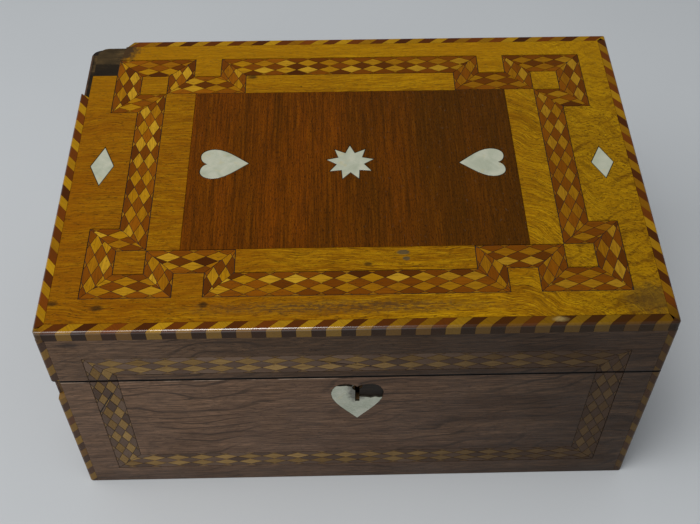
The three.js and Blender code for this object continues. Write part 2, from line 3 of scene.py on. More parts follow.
import bmesh
import bpy
import numpy as np
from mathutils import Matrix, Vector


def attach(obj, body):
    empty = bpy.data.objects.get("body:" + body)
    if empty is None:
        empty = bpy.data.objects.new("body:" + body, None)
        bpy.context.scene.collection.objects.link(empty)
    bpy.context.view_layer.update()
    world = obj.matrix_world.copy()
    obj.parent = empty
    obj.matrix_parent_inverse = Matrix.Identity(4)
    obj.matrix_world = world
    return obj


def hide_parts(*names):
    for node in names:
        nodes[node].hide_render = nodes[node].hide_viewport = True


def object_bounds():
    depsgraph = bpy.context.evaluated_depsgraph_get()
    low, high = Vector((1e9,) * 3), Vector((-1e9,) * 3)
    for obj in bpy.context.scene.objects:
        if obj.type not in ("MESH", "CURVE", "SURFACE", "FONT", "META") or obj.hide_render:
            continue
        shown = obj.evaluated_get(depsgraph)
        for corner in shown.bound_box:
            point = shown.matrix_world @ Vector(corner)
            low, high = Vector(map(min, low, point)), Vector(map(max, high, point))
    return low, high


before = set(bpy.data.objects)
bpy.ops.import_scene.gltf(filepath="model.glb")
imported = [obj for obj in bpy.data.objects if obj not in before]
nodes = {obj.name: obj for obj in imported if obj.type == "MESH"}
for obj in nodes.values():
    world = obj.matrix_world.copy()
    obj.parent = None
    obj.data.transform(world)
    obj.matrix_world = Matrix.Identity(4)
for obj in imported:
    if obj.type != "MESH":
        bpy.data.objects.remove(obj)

cad_low, cad_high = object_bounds()
MM = 0.001

# Carcase: ten softwood boards, butted and glued. They show inside the open box, below it, and at the back
# left corner of the lid, where the veneer is lost and the ground is dark with dirt, glue and handling.
LENGTH, DEPTH, HEIGHT = (round((high - low) / MM, 1) for low, high in zip(cad_low, cad_high))
half_length, half_depth = LENGTH / 2, DEPTH / 2
SEAM_LOW, SEAM_HIGH = 101.7, 102.5
BARED = 1.3


def tint(redder_and_lit_left, green, blue):
    """A screen colour of 0 to 255 per channel made linear: the usual power of 2.4 with its straight foot."""
    part = np.array([redder_and_lit_left, green, blue]) / 255
    return (*np.where(part < 0.0405, part / 12.92, ((part + 0.055) / 1.055) ** 2.4), 1.0)


def put(kind, settings=(), **inputs):
    """Adds one node to the tree of the first socket among its inputs. Settings are the node's own properties;
    inputs are sockets or values, named or as in_3."""
    tree = next(value.id_data for value in inputs.values() if isinstance(value, bpy.types.NodeSocket))
    made = tree.nodes.new("ShaderNode" + kind)
    for key, value in dict(settings).items():
        setattr(made, key, value)
    for key, value in inputs.items():
        socket = made.inputs[int(key[3:])] if key.startswith("in_") else made.inputs[key.replace("_", " ")]
        if isinstance(value, bpy.types.NodeSocket):
            tree.links.new(value, socket)
        else:
            socket.default_value = value
    return made


def sum_of(operation, first, second=0.0, third=0.0):
    """One Math node's result."""
    return put("Math", {"operation": operation}, in_0=first, in_1=second, in_2=third).outputs[0]


def vector_of(operation, first, second):
    """One Vector Math node's result."""
    return put("VectorMath", {"operation": operation}, in_0=first, in_1=second).outputs[0]


def sized(vector, scale):
    """A place or step multiplied by one value."""
    return put("VectorMath", {"operation": "SCALE"}, Vector=vector, Scale=scale).outputs[0]


def times(first, second):
    """The product of two values."""
    return sum_of("MULTIPLY", first, second)


def blended(share, under, over, way="MIX"):
    """Colour under with colour over laid on it by a share."""
    settings = {"data_type": "RGBA", "blend_type": way}
    return put("Mix", settings, in_0=share, in_6=under, in_7=over).outputs[2]


def washed(colour, over, share, strength=1.0):
    """A colour with another, of 0 to 255 per channel, laid over it by a share times a strength."""
    return blended(share if strength == 1.0 else times(share, strength), colour, tint(*over))


def layered(colour, *washes):
    """A colour with washes over it in turn, each a colour, a share and, where given, a strength."""
    for wash in washes:
        colour = washed(colour, *wash)
    return colour


def between(value, low, high, to_low=0.0, to_high=1.0):
    """A value carried smoothly from one range to another and held at its ends."""
    made = put("MapRange", {"interpolation_type": "SMOOTHSTEP"},
               in_0=value, in_1=low, in_2=high, in_3=to_low, in_4=to_high)
    return made.outputs[0]


def stops(value, *colours):
    """A value turned into a colour by stops, each a place and then red, green and blue of 0 to 255."""
    made = put("ValToRGB", in_0=value)
    row = made.color_ramp.elements
    while len(row) < len(colours):
        row.new(0.5)
    for stop, (place, *colour) in zip(row, colours):
        stop.position, stop.color = place, tint(*colour)
    return made.outputs[0]


def cloud(vector, scale, detail=3.0, rough=0.5, twist=0.0):
    """Noise over the place, from 0 to 1."""
    return put("TexNoise", Vector=vector, Scale=scale, Detail=detail, Roughness=rough,
               Distortion=twist).outputs[0]


def stretched(vector, along=1.0, across=1.0, up=1.0, turn=0.0, move=(0.0, 0.0, 0.0)):
    """The place turned about Z by so many degrees and then scaled along each axis."""
    turned = put("Mapping", Vector=vector, Location=move, Rotation=(0.0, 0.0, math.radians(turn)))
    return put("Mapping", Vector=turned.outputs[0], Scale=(along, across, up)).outputs[0]


def drawn_out(place, sizes, detail, rough=0.5, twist=0.0, **moved):
    """Noise over the place, scaled by a size along each axis."""
    return cloud(stretched(place, *sizes, **moved), 1.0, detail, rough, twist)


def group(name, **inputs):
    """An empty node group's input sockets, each made for a value, or None for a place."""
    tree = bpy.data.node_groups.new(name, "ShaderNodeTree")
    for socket, value in inputs.items():
        kind = "NodeSocketVector" if value is None else "NodeSocketFloat"
        made = tree.interface.new_socket(socket, in_out="INPUT", socket_type=kind)
        if value is not None:
            made.default_value = value
    return tree.nodes.new("NodeGroupInput").outputs


def giving(**outputs):
    """Closes a node group with an output socket for each named value, and returns it."""
    tree = next(iter(outputs.values())).id_data
    for socket in outputs:
        tree.interface.new_socket(socket, in_out="OUTPUT", socket_type="NodeSocketFloat")
    out = tree.nodes.new("NodeGroupOutput")
    for socket, value in outputs.items():
        tree.links.new(value, out.inputs[socket])
    return tree


def wood_grain_group():
    """Grain along X on a place in millimetres: broad stripes, fine streaks and short open pores."""
    given = group("wood_grain", Place=None, Spacing=1.0, Pores=0.5)
    near = sized(given["Place"], given["Spacing"])
    bend = drawn_out(near, (0.02, 0.05, 0.05), 2.0)
    bent = vector_of("ADD", near, put("CombineXYZ", Y=times(bend, 9.0)).outputs[0])
    broad = drawn_out(bent, (0.012, 0.16, 0.16), 3.0)
    fine = drawn_out(bent, (0.05, 1.3, 1.3), 4.0, 0.7)
    dashes = drawn_out(bent, (0.3, 2.0, 2.0), 2.0, 0.6)
    limit = sum_of("SUBTRACT", 0.74, times(given["Pores"], 0.25))
    pore = between(dashes, limit, sum_of("ADD", limit, 0.09))
    height = sum_of("SUBTRACT", times(fine, 0.5), pore)
    return giving(Broad=broad, Fine=fine, Pore=pore, Height=height)


def old_skin_group():
    """Age on a place in millimetres: patches of worn polish, small dents and specks of dirt."""
    given = group("old_skin", Place=None)
    place = given["Place"]
    patch = cloud(place, 0.035, 5.0, 0.6)
    dots = put("TexVoronoi", {"feature": "F1"}, Vector=place, Scale=0.11)
    sizes = put("SeparateColor", Color=dots.outputs["Color"]).outputs[0]
    reach = times(sum_of("POWER", sizes, 5.0), 0.09)
    speck = between(dots.outputs["Distance"], reach, times(reach, 0.4))
    dent = cloud(place, 0.16, 3.0, 0.5)
    return giving(Patch=patch, Speck=speck, Dent=dent)


def dirt_and_seam_shade_group():
    """Masks on a place in millimetres: the dark seam between lid and base, painted shade of the gap with dirt
    in the joint, and the dark stain spread from the lid's lost corner, flat on the face and down the corner
    itself."""
    given = group("dirt_and_seam_shade", Place=None)
    place = given["Place"]
    z = axis_of(place, 2)
    # Seam: a band about the gap between lid and base, painted shade with dirt in the joint.
    seam = sum_of("MINIMUM", between(z, 101.25, 101.6), between(z, 103.4, 102.8))
    stain = face_mark(place, (-140.0, 97.0), (18.5, 12.5), 0.22, 0.9)
    corner = near_spot(place, (-151.0, 105.0, 139.0), (27.0, 32.0, 12.0), 0.3, 0.6)
    return giving(Seam=seam, Stain=stain, Corner=corner)


WOOD_GRAIN = wood_grain_group()
OLD_SKIN = old_skin_group()


def material(name):
    """A new material, its shader and the place on the object in millimetres."""
    made = bpy.data.materials.new(name)
    made.use_nodes = True
    inner = made.node_tree.nodes
    place = sized(inner.new("ShaderNodeTexCoord").outputs["Object"], 1 / MM)
    return made, inner["Principled BSDF"], place


def grained(place, spacing=1.0, pores=0.5):
    """The grain group placed in a material."""
    return put("Group", {"node_tree": WOOD_GRAIN}, Place=place, Spacing=spacing, Pores=pores).outputs


def aged(place):
    """The age group placed in a material."""
    return put("Group", {"node_tree": OLD_SKIN}, Place=place).outputs


def axis_of(place, axis):
    """One coordinate of a place."""
    return put("SeparateXYZ", Vector=place).outputs[axis]


def near_spot(place, centre, size, soft=0.5, ragged=0.0):
    """1 inside an ellipse about a spot and 0 outside, with a soft edge roughened by noise."""
    scaled = vector_of("DIVIDE", vector_of("SUBTRACT", place, centre), size)
    far = put("VectorMath", {"operation": "LENGTH"}, in_0=scaled).outputs[1]
    if ragged:
        rough = sum_of("SUBTRACT", cloud(place, 0.35, 4.0, 0.6), 0.5)
        far = sum_of("MULTIPLY_ADD", rough, ragged, far)
    return between(far, 1.0 + soft, 1.0 - soft)


def face_mark(place, spot, size, soft, ragged):
    """The same ellipse about a spot of X and Y on the lid's face."""
    return near_spot(place, (*spot, 143.0), (*size, 9.0), soft, ragged)


DIRT_AND_SEAM_SHADE = dirt_and_seam_shade_group()


def with_dirt_and_seam_shade(place):
    """The group of dirt masks and the painted seam shade, placed in a material."""
    return put("Group", {"node_tree": DIRT_AND_SEAM_SHADE}, Place=place).outputs


def fed(shader, name, value):
    """Joins a value to one of the shader's sockets."""
    shader.id_data.links.new(value, shader.inputs[name])


def coloured(shader, colour, patch, low_rough, high_rough, shine=0.5):
    """Joins a colour to the shader, and a roughness that goes from one value to the other with a mask."""
    shader.inputs["Specular IOR Level"].default_value = shine
    fed(shader, "Base Color", colour)
    fed(shader, "Roughness", between(patch, 0.3, 0.7, low_rough, high_rough))


def relief(shader, height, depth_mm):
    """Height in parts of a depth, as a bump on the shader."""
    bump = put("Bump", Height=height, Distance=depth_mm * MM, Strength=1.0)
    fed(shader, "Normal", bump.outputs[0])


def old_relief(shader, skin, grain, dents, depth_mm):
    """The dents of age, so many times as deep as the grain, together with the grain as a bump."""
    relief(shader, sum_of("MULTIPLY_ADD", skin["Dent"], dents, grain["Height"]), depth_mm)


def bare_wood(grain):
    """Pale brown softwood, darker in its fine streaks."""
    colour = stops(grain["Broad"], (0.3, 118, 92, 62), (0.7, 150, 118, 80))
    return washed(colour, (96, 70, 44), grain["Fine"], 0.7)


def softwood(name, turn):
    """Bare old pine or deal, grain turned by an angle, darker and greasier where it was handled."""
    made, shader, place = material(name)
    grain = grained(stretched(place, turn=turn), 0.8, 0.2)
    skin = aged(place)
    colour = bare_wood(grain)
    colour = washed(colour, (84, 64, 44), between(skin["Patch"], 0.45, 0.75, 0.0, 0.6))
    sides = [sum_of("SUBTRACT", sum_of("ABSOLUTE", axis_of(place, axis)), face)
             for axis, face in ((0, half_length - BARED), (1, half_depth - BARED))]
    bared = between(sum_of("MAXIMUM", *sides), 0.0, 0.2)
    colour = blended(bared, colour, stops(grain["Fine"], (0.35, 50, 40, 30), (0.7, 22, 17, 13)))
    coloured(shader, colour, skin["Patch"], 0.75, 0.6, 0.2)
    relief(shader, grain["Height"], 0.12)
    return made


def lid_ground():
    """The lid's top board: bare inside, and outside a grey-brown ground of old glue and dirt."""
    made, shader, place = material("lid_ground")
    grain = grained(place, 0.9, 0.3)
    skin = aged(place)
    bare = bare_wood(grain)
    smears = drawn_out(place, (0.05, 0.12, 0.1), 5.0, 0.65)
    dirt = stops(smears, (0.3, 54, 43, 27), (0.5, 78, 62, 38), (0.72, 118, 92, 56))
    dirt = washed(dirt, (26, 20, 14), between(grain["Fine"], 0.45, 0.7, 0.0, 0.6))
    # Darker in ragged bands beside the veneer's broken edge in front and along the left edge.
    ragged = times(cloud(place, 0.4, 3.0), 3.0)
    inner = between(sum_of("SUBTRACT", axis_of(place, 1), ragged), 84.6, 82.6)
    outer = between(sum_of("ADD", axis_of(place, 0), ragged), -145.6, -147.6)
    dirt = washed(dirt, (24, 19, 14), sum_of("MAXIMUM", inner, outer), 0.8)
    outside = between(axis_of(place, 2), 133.6, 134.2)
    coloured(shader, blended(outside, bare, dirt), skin["Patch"], 0.75, 0.5, 0.12)
    relief(shader, sum_of("ADD", grain["Height"], skin["Dent"]), 0.35)
    return made


def dressed(node_name, finish):
    """Gives a CAD node its finish."""
    nodes[node_name].data.materials.clear()
    nodes[node_name].data.materials.append(finish)


along_wood, across_wood = softwood("softwood_long", 0.0), softwood("softwood_end", 90.0)
for body in ("base", "lid"):
    for side in ("front", "back"):
        dressed(f"{body}_{side}_board", along_wood)
    for side in ("left", "right"):
        dressed(f"{body}_{side}_board", across_wood)
dressed("base_bottom_board", along_wood)
dressed("lid_top_board", lid_ground())

# Walnut veneer on the front, the sides and the back, knife-cut and hammer-veneered on the boards. Dark
# figure lines wander through the front; it is redder toward the left and up by the seam, and lighter there
# with painted light. Painted shade darkens the front toward the right and above the seam, and a painted
# highlight lies along the base's top front arris.


def walnut(name, grain_turn, figured):
    """Brown wood with dark lines: a sine of the height bent by slow noise, sharpened to thin dark strokes."""
    made, shader, place = material(name)
    if grain_turn:
        place = put("Mapping", Vector=place, Rotation=(0.0, 0.0, math.radians(grain_turn))).outputs[0]
    grain = grained(place, 1.1, 0.55)
    skin = aged(place)
    x, z = axis_of(place, 0), axis_of(place, 2)
    bend = drawn_out(place, (0.010, 0.01, 0.022), 3.0, 0.45, move=(7.0, 3.0, 11.0))
    rise = sum_of("MULTIPLY_ADD", bend, 62.0 if figured else 50.0, z)
    rise = sum_of("MULTIPLY_ADD", x, -0.19 if figured else 0.0, rise)
    rise = sum_of("MULTIPLY_ADD", grain["Fine"], 1.6, rise)
    wave = sum_of("SINE", times(rise, 2 * math.pi / 8.5))
    stroke = between(wave, 0.7, 1.0)
    second = between(sum_of("SINE", times(rise, 2 * math.pi / 3.1)), 0.2, 1.0)
    colour = stops(grain["Broad"], (0.32, 100, 73, 55), (0.5, 121, 91, 70), (0.68, 142, 108, 82))
    # Redder and lighter toward the left and up to the seam: the redder tone is the wood's, the lightening is
    # painted light from the left.
    if figured:
        redder_and_lit_left = times(between(z, 20.0, 100.0, 0.5, 1.0), between(x, 90.0, -130.0))
        colour = washed(colour, (164, 126, 96), redder_and_lit_left, 0.85)
    colour = washed(colour, (70, 51, 38), second, 0.2)
    strong = between(cloud(place, 0.018, 2.0), 0.38, 0.66, 0.1, 0.7)
    colour = washed(colour, (50, 37, 28), times(stroke, strong))
    streak = drawn_out(place, (0.02, 0.02, 0.85), 5.0, 0.68, 0.3, move=(0.0, 0.0, 5.0))
    depth = 0.6 if figured else 0.55
    colour = layered(
        colour,
        ((54, 38, 26), between(streak, 0.44, 0.6, 0.0, 0.55 * depth)),
        ((150, 116, 88), between(streak, 0.44, 0.34, 0.0, 0.4 * depth)),
        ((60, 43, 32), between(grain["Fine"], 0.4, 0.6, 0.0, 0.6)),
        ((38, 26, 20), grain["Pore"], 0.6))
    if figured:
        # Painted shade: the front multiplied darker toward the right, and on the lid above the seam darker
        # still, most at the right.
        painted_shade_falloff = between(x, -30.0, 150.0, 0.0, 1.0)
        lid = between(z, 102.0, 102.2, 0.0, between(x, -150.0, 10.0, 0.4, 1.0))
        painted_shade = sum_of("MAXIMUM", painted_shade_falloff, lid)
        colour = blended(painted_shade, colour, (0.47, 0.45, 0.38, 1.0), "MULTIPLY")
        # Darker and greyer toward the bottom of the front.
        colour = washed(colour, (62, 52, 46), between(z, 16.0, 2.0, 0.0, 0.4))
        mark = near_spot(place, (-136.0, -104.0, 133.2), (5.5, 3.0, 1.3), 0.6, 1.5)
        colour = washed(colour, (36, 28, 26), mark, 0.7)
        # A pale line along the base's top front arris, left of the middle: a painted highlight, partly pale
        # worn polish, broken by noise.
        pale = times(between(z, 100.7, 101.1), between(x, 10.0, -20.0))
        pale = times(pale, between(z, 101.6, 101.3))
        worn = between(drawn_out(place, (0.12, 1.0, 0.2), 3.0), 0.4, 0.6)
        colour = washed(colour, (206, 176, 150), times(pale, worn))
    colour = washed(colour, (26, 18, 14), skin["Speck"], 0.8)
    dirt = with_dirt_and_seam_shade(place)
    # The dark seam is painted shade of the gap with dirt in the joint; the corner stain is real dirt.
    colour = layered(
        colour,
        ((16, 10, 8), dirt["Seam"]),
        ((40, 32, 28), dirt["Corner"]))
    coloured(shader, colour, skin["Patch"], 0.34, 0.52, 0.14)
    old_relief(shader, skin, grain, 1.2, 0.10)
    return made


front_walnut, back_walnut = walnut("walnut_front", 0.0, True), walnut("walnut_back", 0.0, False)
side_walnut = walnut("walnut_side", 90.0, False)
for body in ("base", "lid"):
    for part in ("border", "field"):
        dressed(f"{body}_front_{part}", front_walnut)
    dressed(f"{body}_back_veneer", back_walnut)
    for side in ("left", "right"):
        dressed(f"{body}_{side}_veneer", side_walnut)

# Golden figured veneer round the band and inside it, laid in nine pieces on the top board under old
# varnish. Toward the right it turns into rough, swirling figure full of dark specks.


def golden():
    """Yellow-brown wood: grain along X, bent into slants and swirls to the right, with pores and specks."""
    made, shader, place = material("golden_veneer")
    skin = aged(place)
    x, y = axis_of(place, 0), axis_of(place, 1)
    wild = between(x, 70.0, 125.0)
    swirl = sum_of("SUBTRACT", cloud(place, 0.022, 2.0, 0.5, 0.6), 0.5)
    push = times(swirl, sum_of("MULTIPLY_ADD", wild, 46.0, 10.0))
    rough = sum_of("SUBTRACT", cloud(place, 0.13, 4.0, 0.6), 0.5)
    push = sum_of("MULTIPLY_ADD", rough, sum_of("MULTIPLY_ADD", wild, 6.0, 0.8), push)
    lean = times(times(sum_of("SUBTRACT", x, 70.0), wild), 0.5)
    shift = put("CombineXYZ", Y=sum_of("ADD", push, lean)).outputs[0]
    bent = vector_of("ADD", place, shift)
    grain = grained(bent, 1.0, 0.52)
    colour = stops(grain["Broad"], (0.3, 148, 96, 4), (0.5, 172, 120, 6), (0.7, 194, 144, 10))
    dash = drawn_out(bent, (0.1, 1.9, 1.0), 4.0, 0.7, move=(3.0, 9.0, 0.0))
    colour = layered(
        colour,
        ((104, 64, 4), between(dash, 0.49, 0.62, 0.0, 0.8)),
        ((214, 168, 20), between(dash, 0.47, 0.36, 0.0, 0.65)))
    warm = between(cloud(place, 0.012, 2.0), 0.4, 0.65, 0.1, 0.35)
    warm = sum_of("ADD", warm, between(x, 40.0, -150.0, 0.0, 0.5))
    colour = layered(
        colour,
        ((150, 86, 4), warm),
        ((104, 64, 4), between(grain["Fine"], 0.42, 0.66, 0.0, 0.5)),
        ((66, 40, 4), grain["Pore"], 0.7),
        ((176, 140, 10), wild, 0.3))
    knots = between(drawn_out(place, (0.55, 1.3, 0.75), 5.0, 0.75), 0.52, 0.62)
    knots = times(sum_of("MULTIPLY_ADD", wild, 0.5, 0.4), knots)
    colour = washed(colour, (92, 60, 4), knots)
    slow = drawn_out(place, (0.03, 0.03, 0.03), 3.0, 0.5, move=(20.0, 4.0, 0.0))
    ridge = sum_of("MULTIPLY_ADD", slow, 42.0, sum_of("MULTIPLY_ADD", x, -0.6, y))
    ridge = sum_of("MULTIPLY_ADD", rough, 5.0, ridge)
    ridge = sum_of("SINE", times(ridge, 2 * math.pi / 7.5))
    patches = between(cloud(place, 0.05, 2.0), 0.38, 0.6, 0.0, 0.65)
    ridge = times(between(ridge, 0.35, 1.0), patches)
    ridge = times(ridge, between(dash, 0.36, 0.56, 0.45, 1.0))
    colour = layered(
        colour,
        ((96, 58, 6), times(ridge, between(x, 85.0, 120.0))),
        ((206, 152, 10), between(y, 30.0, 100.0, 0.0, 0.3)),
        ((52, 34, 12), skin["Speck"]))
    dirt = with_dirt_and_seam_shade(place)
    colour = washed(colour, (62, 48, 36), dirt["Stain"], 0.93)
    front = face_mark(place, (-8.0, -91.5), (58.0, 3.4), 0.7, 1.6)
    bits = between(drawn_out(place, (0.3, 0.9, 1.0), 4.0, 0.7), 0.44, 0.56, 0.2, 0.8)
    colour = washed(colour, (84, 60, 34), times(front, bits))
    for *spot, wide, tall in ((-143.0, -87.0, 2.4, 1.4), (-122.0, -90.0, 3.0, 1.6), (-72.0, -89.0, 2.2, 1.6),
                              (-55.0, 71.0, 2.6, 1.6), (6.0, -66.0, 2.0, 1.2)):
        mark = face_mark(place, spot, (wide, tall), 0.5, 0.8)
        colour = washed(colour, (48, 32, 16), mark, 0.75)
    scuff = face_mark(place, (139.0, -90.0), (11.0, 9.0), 0.7, 1.8)
    colour = washed(colour, (62, 48, 30), scuff, 0.6)
    for *spot, wide, tall in ((23.2, -59.0, 3.0, 1.5), (24.6, -62.9, 1.8, 1.2)):
        mark = face_mark(place, spot, (wide, tall), 0.25, 0.4)
        colour = washed(colour, (92, 78, 52), mark, 0.9)
    coloured(shader, colour, skin["Patch"], 0.26, 0.42, 0.05)
    old_relief(shader, skin, grain, 1.5, 0.09)
    return made


golden_veneer = golden()
dressed("top_outer_field", golden_veneer)
for side in ("front", "back", "left", "right"):
    dressed(f"top_field_{side}", golden_veneer)
for row in ("front", "back"):
    for side in ("left", "right"):
        dressed(f"top_square_{row}_{side}", golden_veneer)

# Middle panel: one leaf of red-brown veneer with its grain from front to back, red in streaks at the left
# and duller and darker toward the right, under the same varnish.


def panel_wood():
    """Red-brown wood with long fine streaks along Y and a slow change of colour along X."""
    made, shader, place = material("mahogany_veneer")
    grain = grained(stretched(place, turn=90.0), 1.7, 0.7)
    skin = aged(place)
    x = axis_of(place, 0)
    wide = drawn_out(place, (0.075, 0.008, 0.1), 3.0, 0.55)
    colour = stops(wide, (0.34, 102, 54, 2), (0.5, 115, 59, 2), (0.66, 128, 65, 3))
    streak = drawn_out(place, (0.95, 0.022, 0.1), 5.0, 0.65)
    colour = layered(
        colour,
        ((58, 33, 3), between(streak, 0.48, 0.64, 0.0, 0.5)),
        ((142, 82, 5), between(streak, 0.46, 0.36, 0.0, 0.35)),
        ((66, 43, 6), between(x, -45.0, 110.0, 0.0, 0.72)),
        ((58, 30, 2), between(grain["Fine"], 0.42, 0.62, 0.0, 0.5)),
        ((40, 20, 4), grain["Pore"], 0.7))
    grey = between(drawn_out(place, (0.5, 0.3, 0.3), 4.0, 0.65), 0.6, 0.72)
    grey = times(grey, between(x, -20.0, 50.0, 0.1, 0.4))
    colour = layered(
        colour,
        ((92, 80, 66), grey),
        ((34, 20, 12), skin["Speck"], 0.6))
    coloured(shader, colour, skin["Patch"], 0.3, 0.42, 0.05)
    old_relief(shader, skin, grain, 1.2, 0.08)
    return made


dressed("top_panel", panel_wood())

# Parquetry band on the top: hundreds of small diamonds of light, mid and dark wood, sawn from rods, laid
# point to point along the band, mitred at each turn and bedded in dark glue that shows in the joints.
BAND = 14.6
BAND_END, BAND_FRONT, BAND_BACK = 131.4, -84.5, 87.0
JOINT_GAP, SLIVER = 0.28, 0.3
GLUE_DEPTH, GLUE_THICKNESS, GLUE_MARGIN = 0.3, 0.6, 0.1


def kept_below(outlines, normal, limit):
    """Cuts convex outlines by a line each: corners whose distance along the normal is within the limit stay,
    and each side that crosses the line gives a corner where it does. Short outlines repeat a corner."""
    far = (outlines * normal).sum(-1) - limit
    ahead, far_ahead = np.roll(outlines, -1, axis=1), np.roll(far, -1, axis=1)
    inside, crosses = far <= 0, (far <= 0) != (far_ahead <= 0)
    gap = np.where(crosses, far - far_ahead, 1.0)
    met = outlines + (np.where(crosses, far, 0.0) / gap)[..., None] * (ahead - outlines)
    count = len(outlines), -1
    corners = np.stack([outlines, met], axis=2).reshape(*count, 2)
    valid = np.stack([inside, crosses], axis=2).reshape(count)
    order = np.argsort(~valid, axis=1, kind="stable")
    total = valid.sum(axis=1)
    slot = np.minimum(np.arange(max(int(total.max(initial=1)), 1)), np.maximum(total - 1, 0)[:, None])
    return np.take_along_axis(corners, np.take_along_axis(order, slot, axis=1)[..., None], axis=1), total > 2


def inset(outlines, gap):
    """Each convex outline made smaller by a gap on every side: cut by its own sides moved inwards."""
    sides = outlines.shape[1]
    starts, ahead = outlines.copy(), np.roll(outlines, -1, axis=1)
    alive = np.ones(len(outlines), bool)
    for i in range(sides):
        run = ahead[:, i] - starts[:, i]
        length = np.hypot(*run.T)
        real = length > 1e-6
        out = np.stack([run[:, 1], -run[:, 0]], -1) / np.where(real, length, 1.0)[:, None]
        limit = np.where(real, (out * starts[:, i]).sum(-1) - gap, 1e9)[:, None]
        outlines, whole = kept_below(outlines, out[:, None], limit)
        alive &= whole | ~real
    return outlines, alive


def areas(outlines):
    """Area of each outline by the shoelace sum."""
    ahead = np.roll(outlines, -1, axis=1)
    return ((outlines[..., 0] * ahead[..., 1] - outlines[..., 1] * ahead[..., 0]).sum(1)) / 2


def diamonds_in_run(start, end, turn_in, turn_out, pitch, shift, width, border_gap):
    """Diamonds of one straight run in its own place: rows half a diamond apart, dark in the even rows and
    light in the odd ones, cut by the borders and by the mitres at both ends. The second value is 1 for
    light wood, and its hundredths count the row."""
    start, end = np.array(start), np.array(end)
    length = np.hypot(*(end - start))
    along = (end - start) / length
    aside = np.array([-along[1], along[0]])
    tall = width / 2.5
    grids = np.meshgrid(np.arange(-3, 4), np.arange(-2, int(length / pitch) + 4))
    row, step = (grid.ravel() for grid in grids)
    centre = np.stack([(step + 0.5 * (row % 2)) * pitch + shift, row * tall / 2], -1)
    corners = np.array([[-pitch / 2, 0], [0, -tall / 2], [pitch / 2, 0], [0, tall / 2]])
    outlines = centre[:, None] + corners
    light = (row % 2) + (row + 3) / 100
    half = width / 2 - border_gap
    for normal, limit in (((0, 1), half), ((0, -1), half), ((-1, turn_in), 0.0), ((1, turn_out), length)):
        outlines, whole = kept_below(outlines, np.array(normal, float), limit)
        outlines, light = outlines[whole], light[whole]
    return start + outlines[..., :1] * along + outlines[..., 1:] * aside, light


def joined(parts):
    """Sets of outlines with their values as one set; the last corner of the shorter outlines is repeated."""
    outlines, *values = zip(*parts)
    widest = max(found.shape[1] for found in outlines)
    evened = [np.pad(found, ((0, 0), (0, widest - found.shape[1]), (0, 0)), "edge") for found in outlines]
    return [np.concatenate(column) for column in (evened, *values)]


def diamonds_along(path, runs, width, border_gap):
    """All runs of a closed path in turn, each with its pitch and shift; gives outlines, their lightness,
    whether the run goes along the second axis, and the run's number."""
    found = []
    count = len(path)
    for i, (pitch, shift) in enumerate(runs):
        before, start, end, after = (np.array(path[(i + k) % count]) for k in (-1, 0, 1, 2))
        legs = (start - before, end - start), (end - start, after - end)
        turns = [np.sign(a[0] * b[1] - a[1] * b[0]) for a, b in legs]
        outlines, light = diamonds_in_run(start, end, *turns, pitch, shift, width, border_gap)
        upright = float(abs(end - start)[1] > abs(end - start)[0])
        found.append((outlines, light, np.full(len(light), upright), np.full(len(light), float(i))))
    return joined(found)


def finished_piece(name, mesh, body, material_made, replaced=()):
    """Puts a mesh in the scene as a piece that rides a body."""
    made = bpy.data.objects.new(name, mesh)
    bpy.context.collection.objects.link(made)
    mesh.materials.append(material_made)
    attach(made, body)
    if replaced:
        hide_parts(*replaced)
    return made


def face_values(mesh, **values):
    """One number per face under each name."""
    for name, value in values.items():
        layer = mesh.attributes.new(name, "FLOAT", "FACE")
        layer.data.foreach_set("value", np.ascontiguousarray(value, np.float32))


def mesh_of(name, spots, faces):
    """A mesh from spots in millimetres and the corner numbers of its faces."""
    mesh = bpy.data.meshes.new(name)
    mesh.from_pydata((spots.reshape(-1, 3) * MM).tolist(), [], faces)
    mesh.update()
    return mesh


def tile_mesh(name, outlines, spots, **values):
    """Flat faces from outlines whose repeated corners are dropped, at spots in space."""
    step = np.hypot(*np.moveaxis(outlines - np.roll(outlines, 1, axis=1), -1, 0))
    real = step > 1e-4
    ends = np.cumsum(real.sum(1))
    faces = [list(range(a, b)) for a, b in zip([0, *ends[:-1]], ends)]
    mesh = mesh_of(name, spots[real], faces)
    face_values(mesh, **values)
    return mesh


def tilted(outlines, amount, seed):
    """Depth of each corner: every tile leans a little its own way and lies a little below the face."""
    draw = np.random.default_rng(seed)
    centre = outlines.mean(axis=1, keepdims=True)
    lean = draw.normal(0, amount, (len(outlines), 1, 2))
    fall = ((outlines - centre) * lean).sum(-1)
    return fall - fall.max(axis=1, keepdims=True) - draw.uniform(0, 0.03, (len(outlines), 1))


def thick(made, thickness, bevel=0.0):
    """A sheet gets its thickness downwards, and its arrises a small bevel where one is given."""
    solid = made.modifiers.new("thickness", "SOLIDIFY")
    solid.thickness, solid.offset = thickness * MM, -1.0
    if bevel:
        soft = made.modifiers.new("soft_edges", "BEVEL")
        soft.width, soft.segments, soft.limit_method = bevel * MM, 1, "ANGLE"


def quarter_path(mirror, edge, up):
    """Corners of the band's middle line for one quarter, in whole band widths from its outer corner."""
    cells = np.array([[1, 2], [0, 2], [0, 0], [2, 0], [2, 1], [4, 1], [4, 0]])
    x = mirror * (BAND_END - (cells[:, 0] + 0.5) * BAND)
    return np.stack([x, edge + up * (cells[:, 1] + 0.5) * BAND], -1)


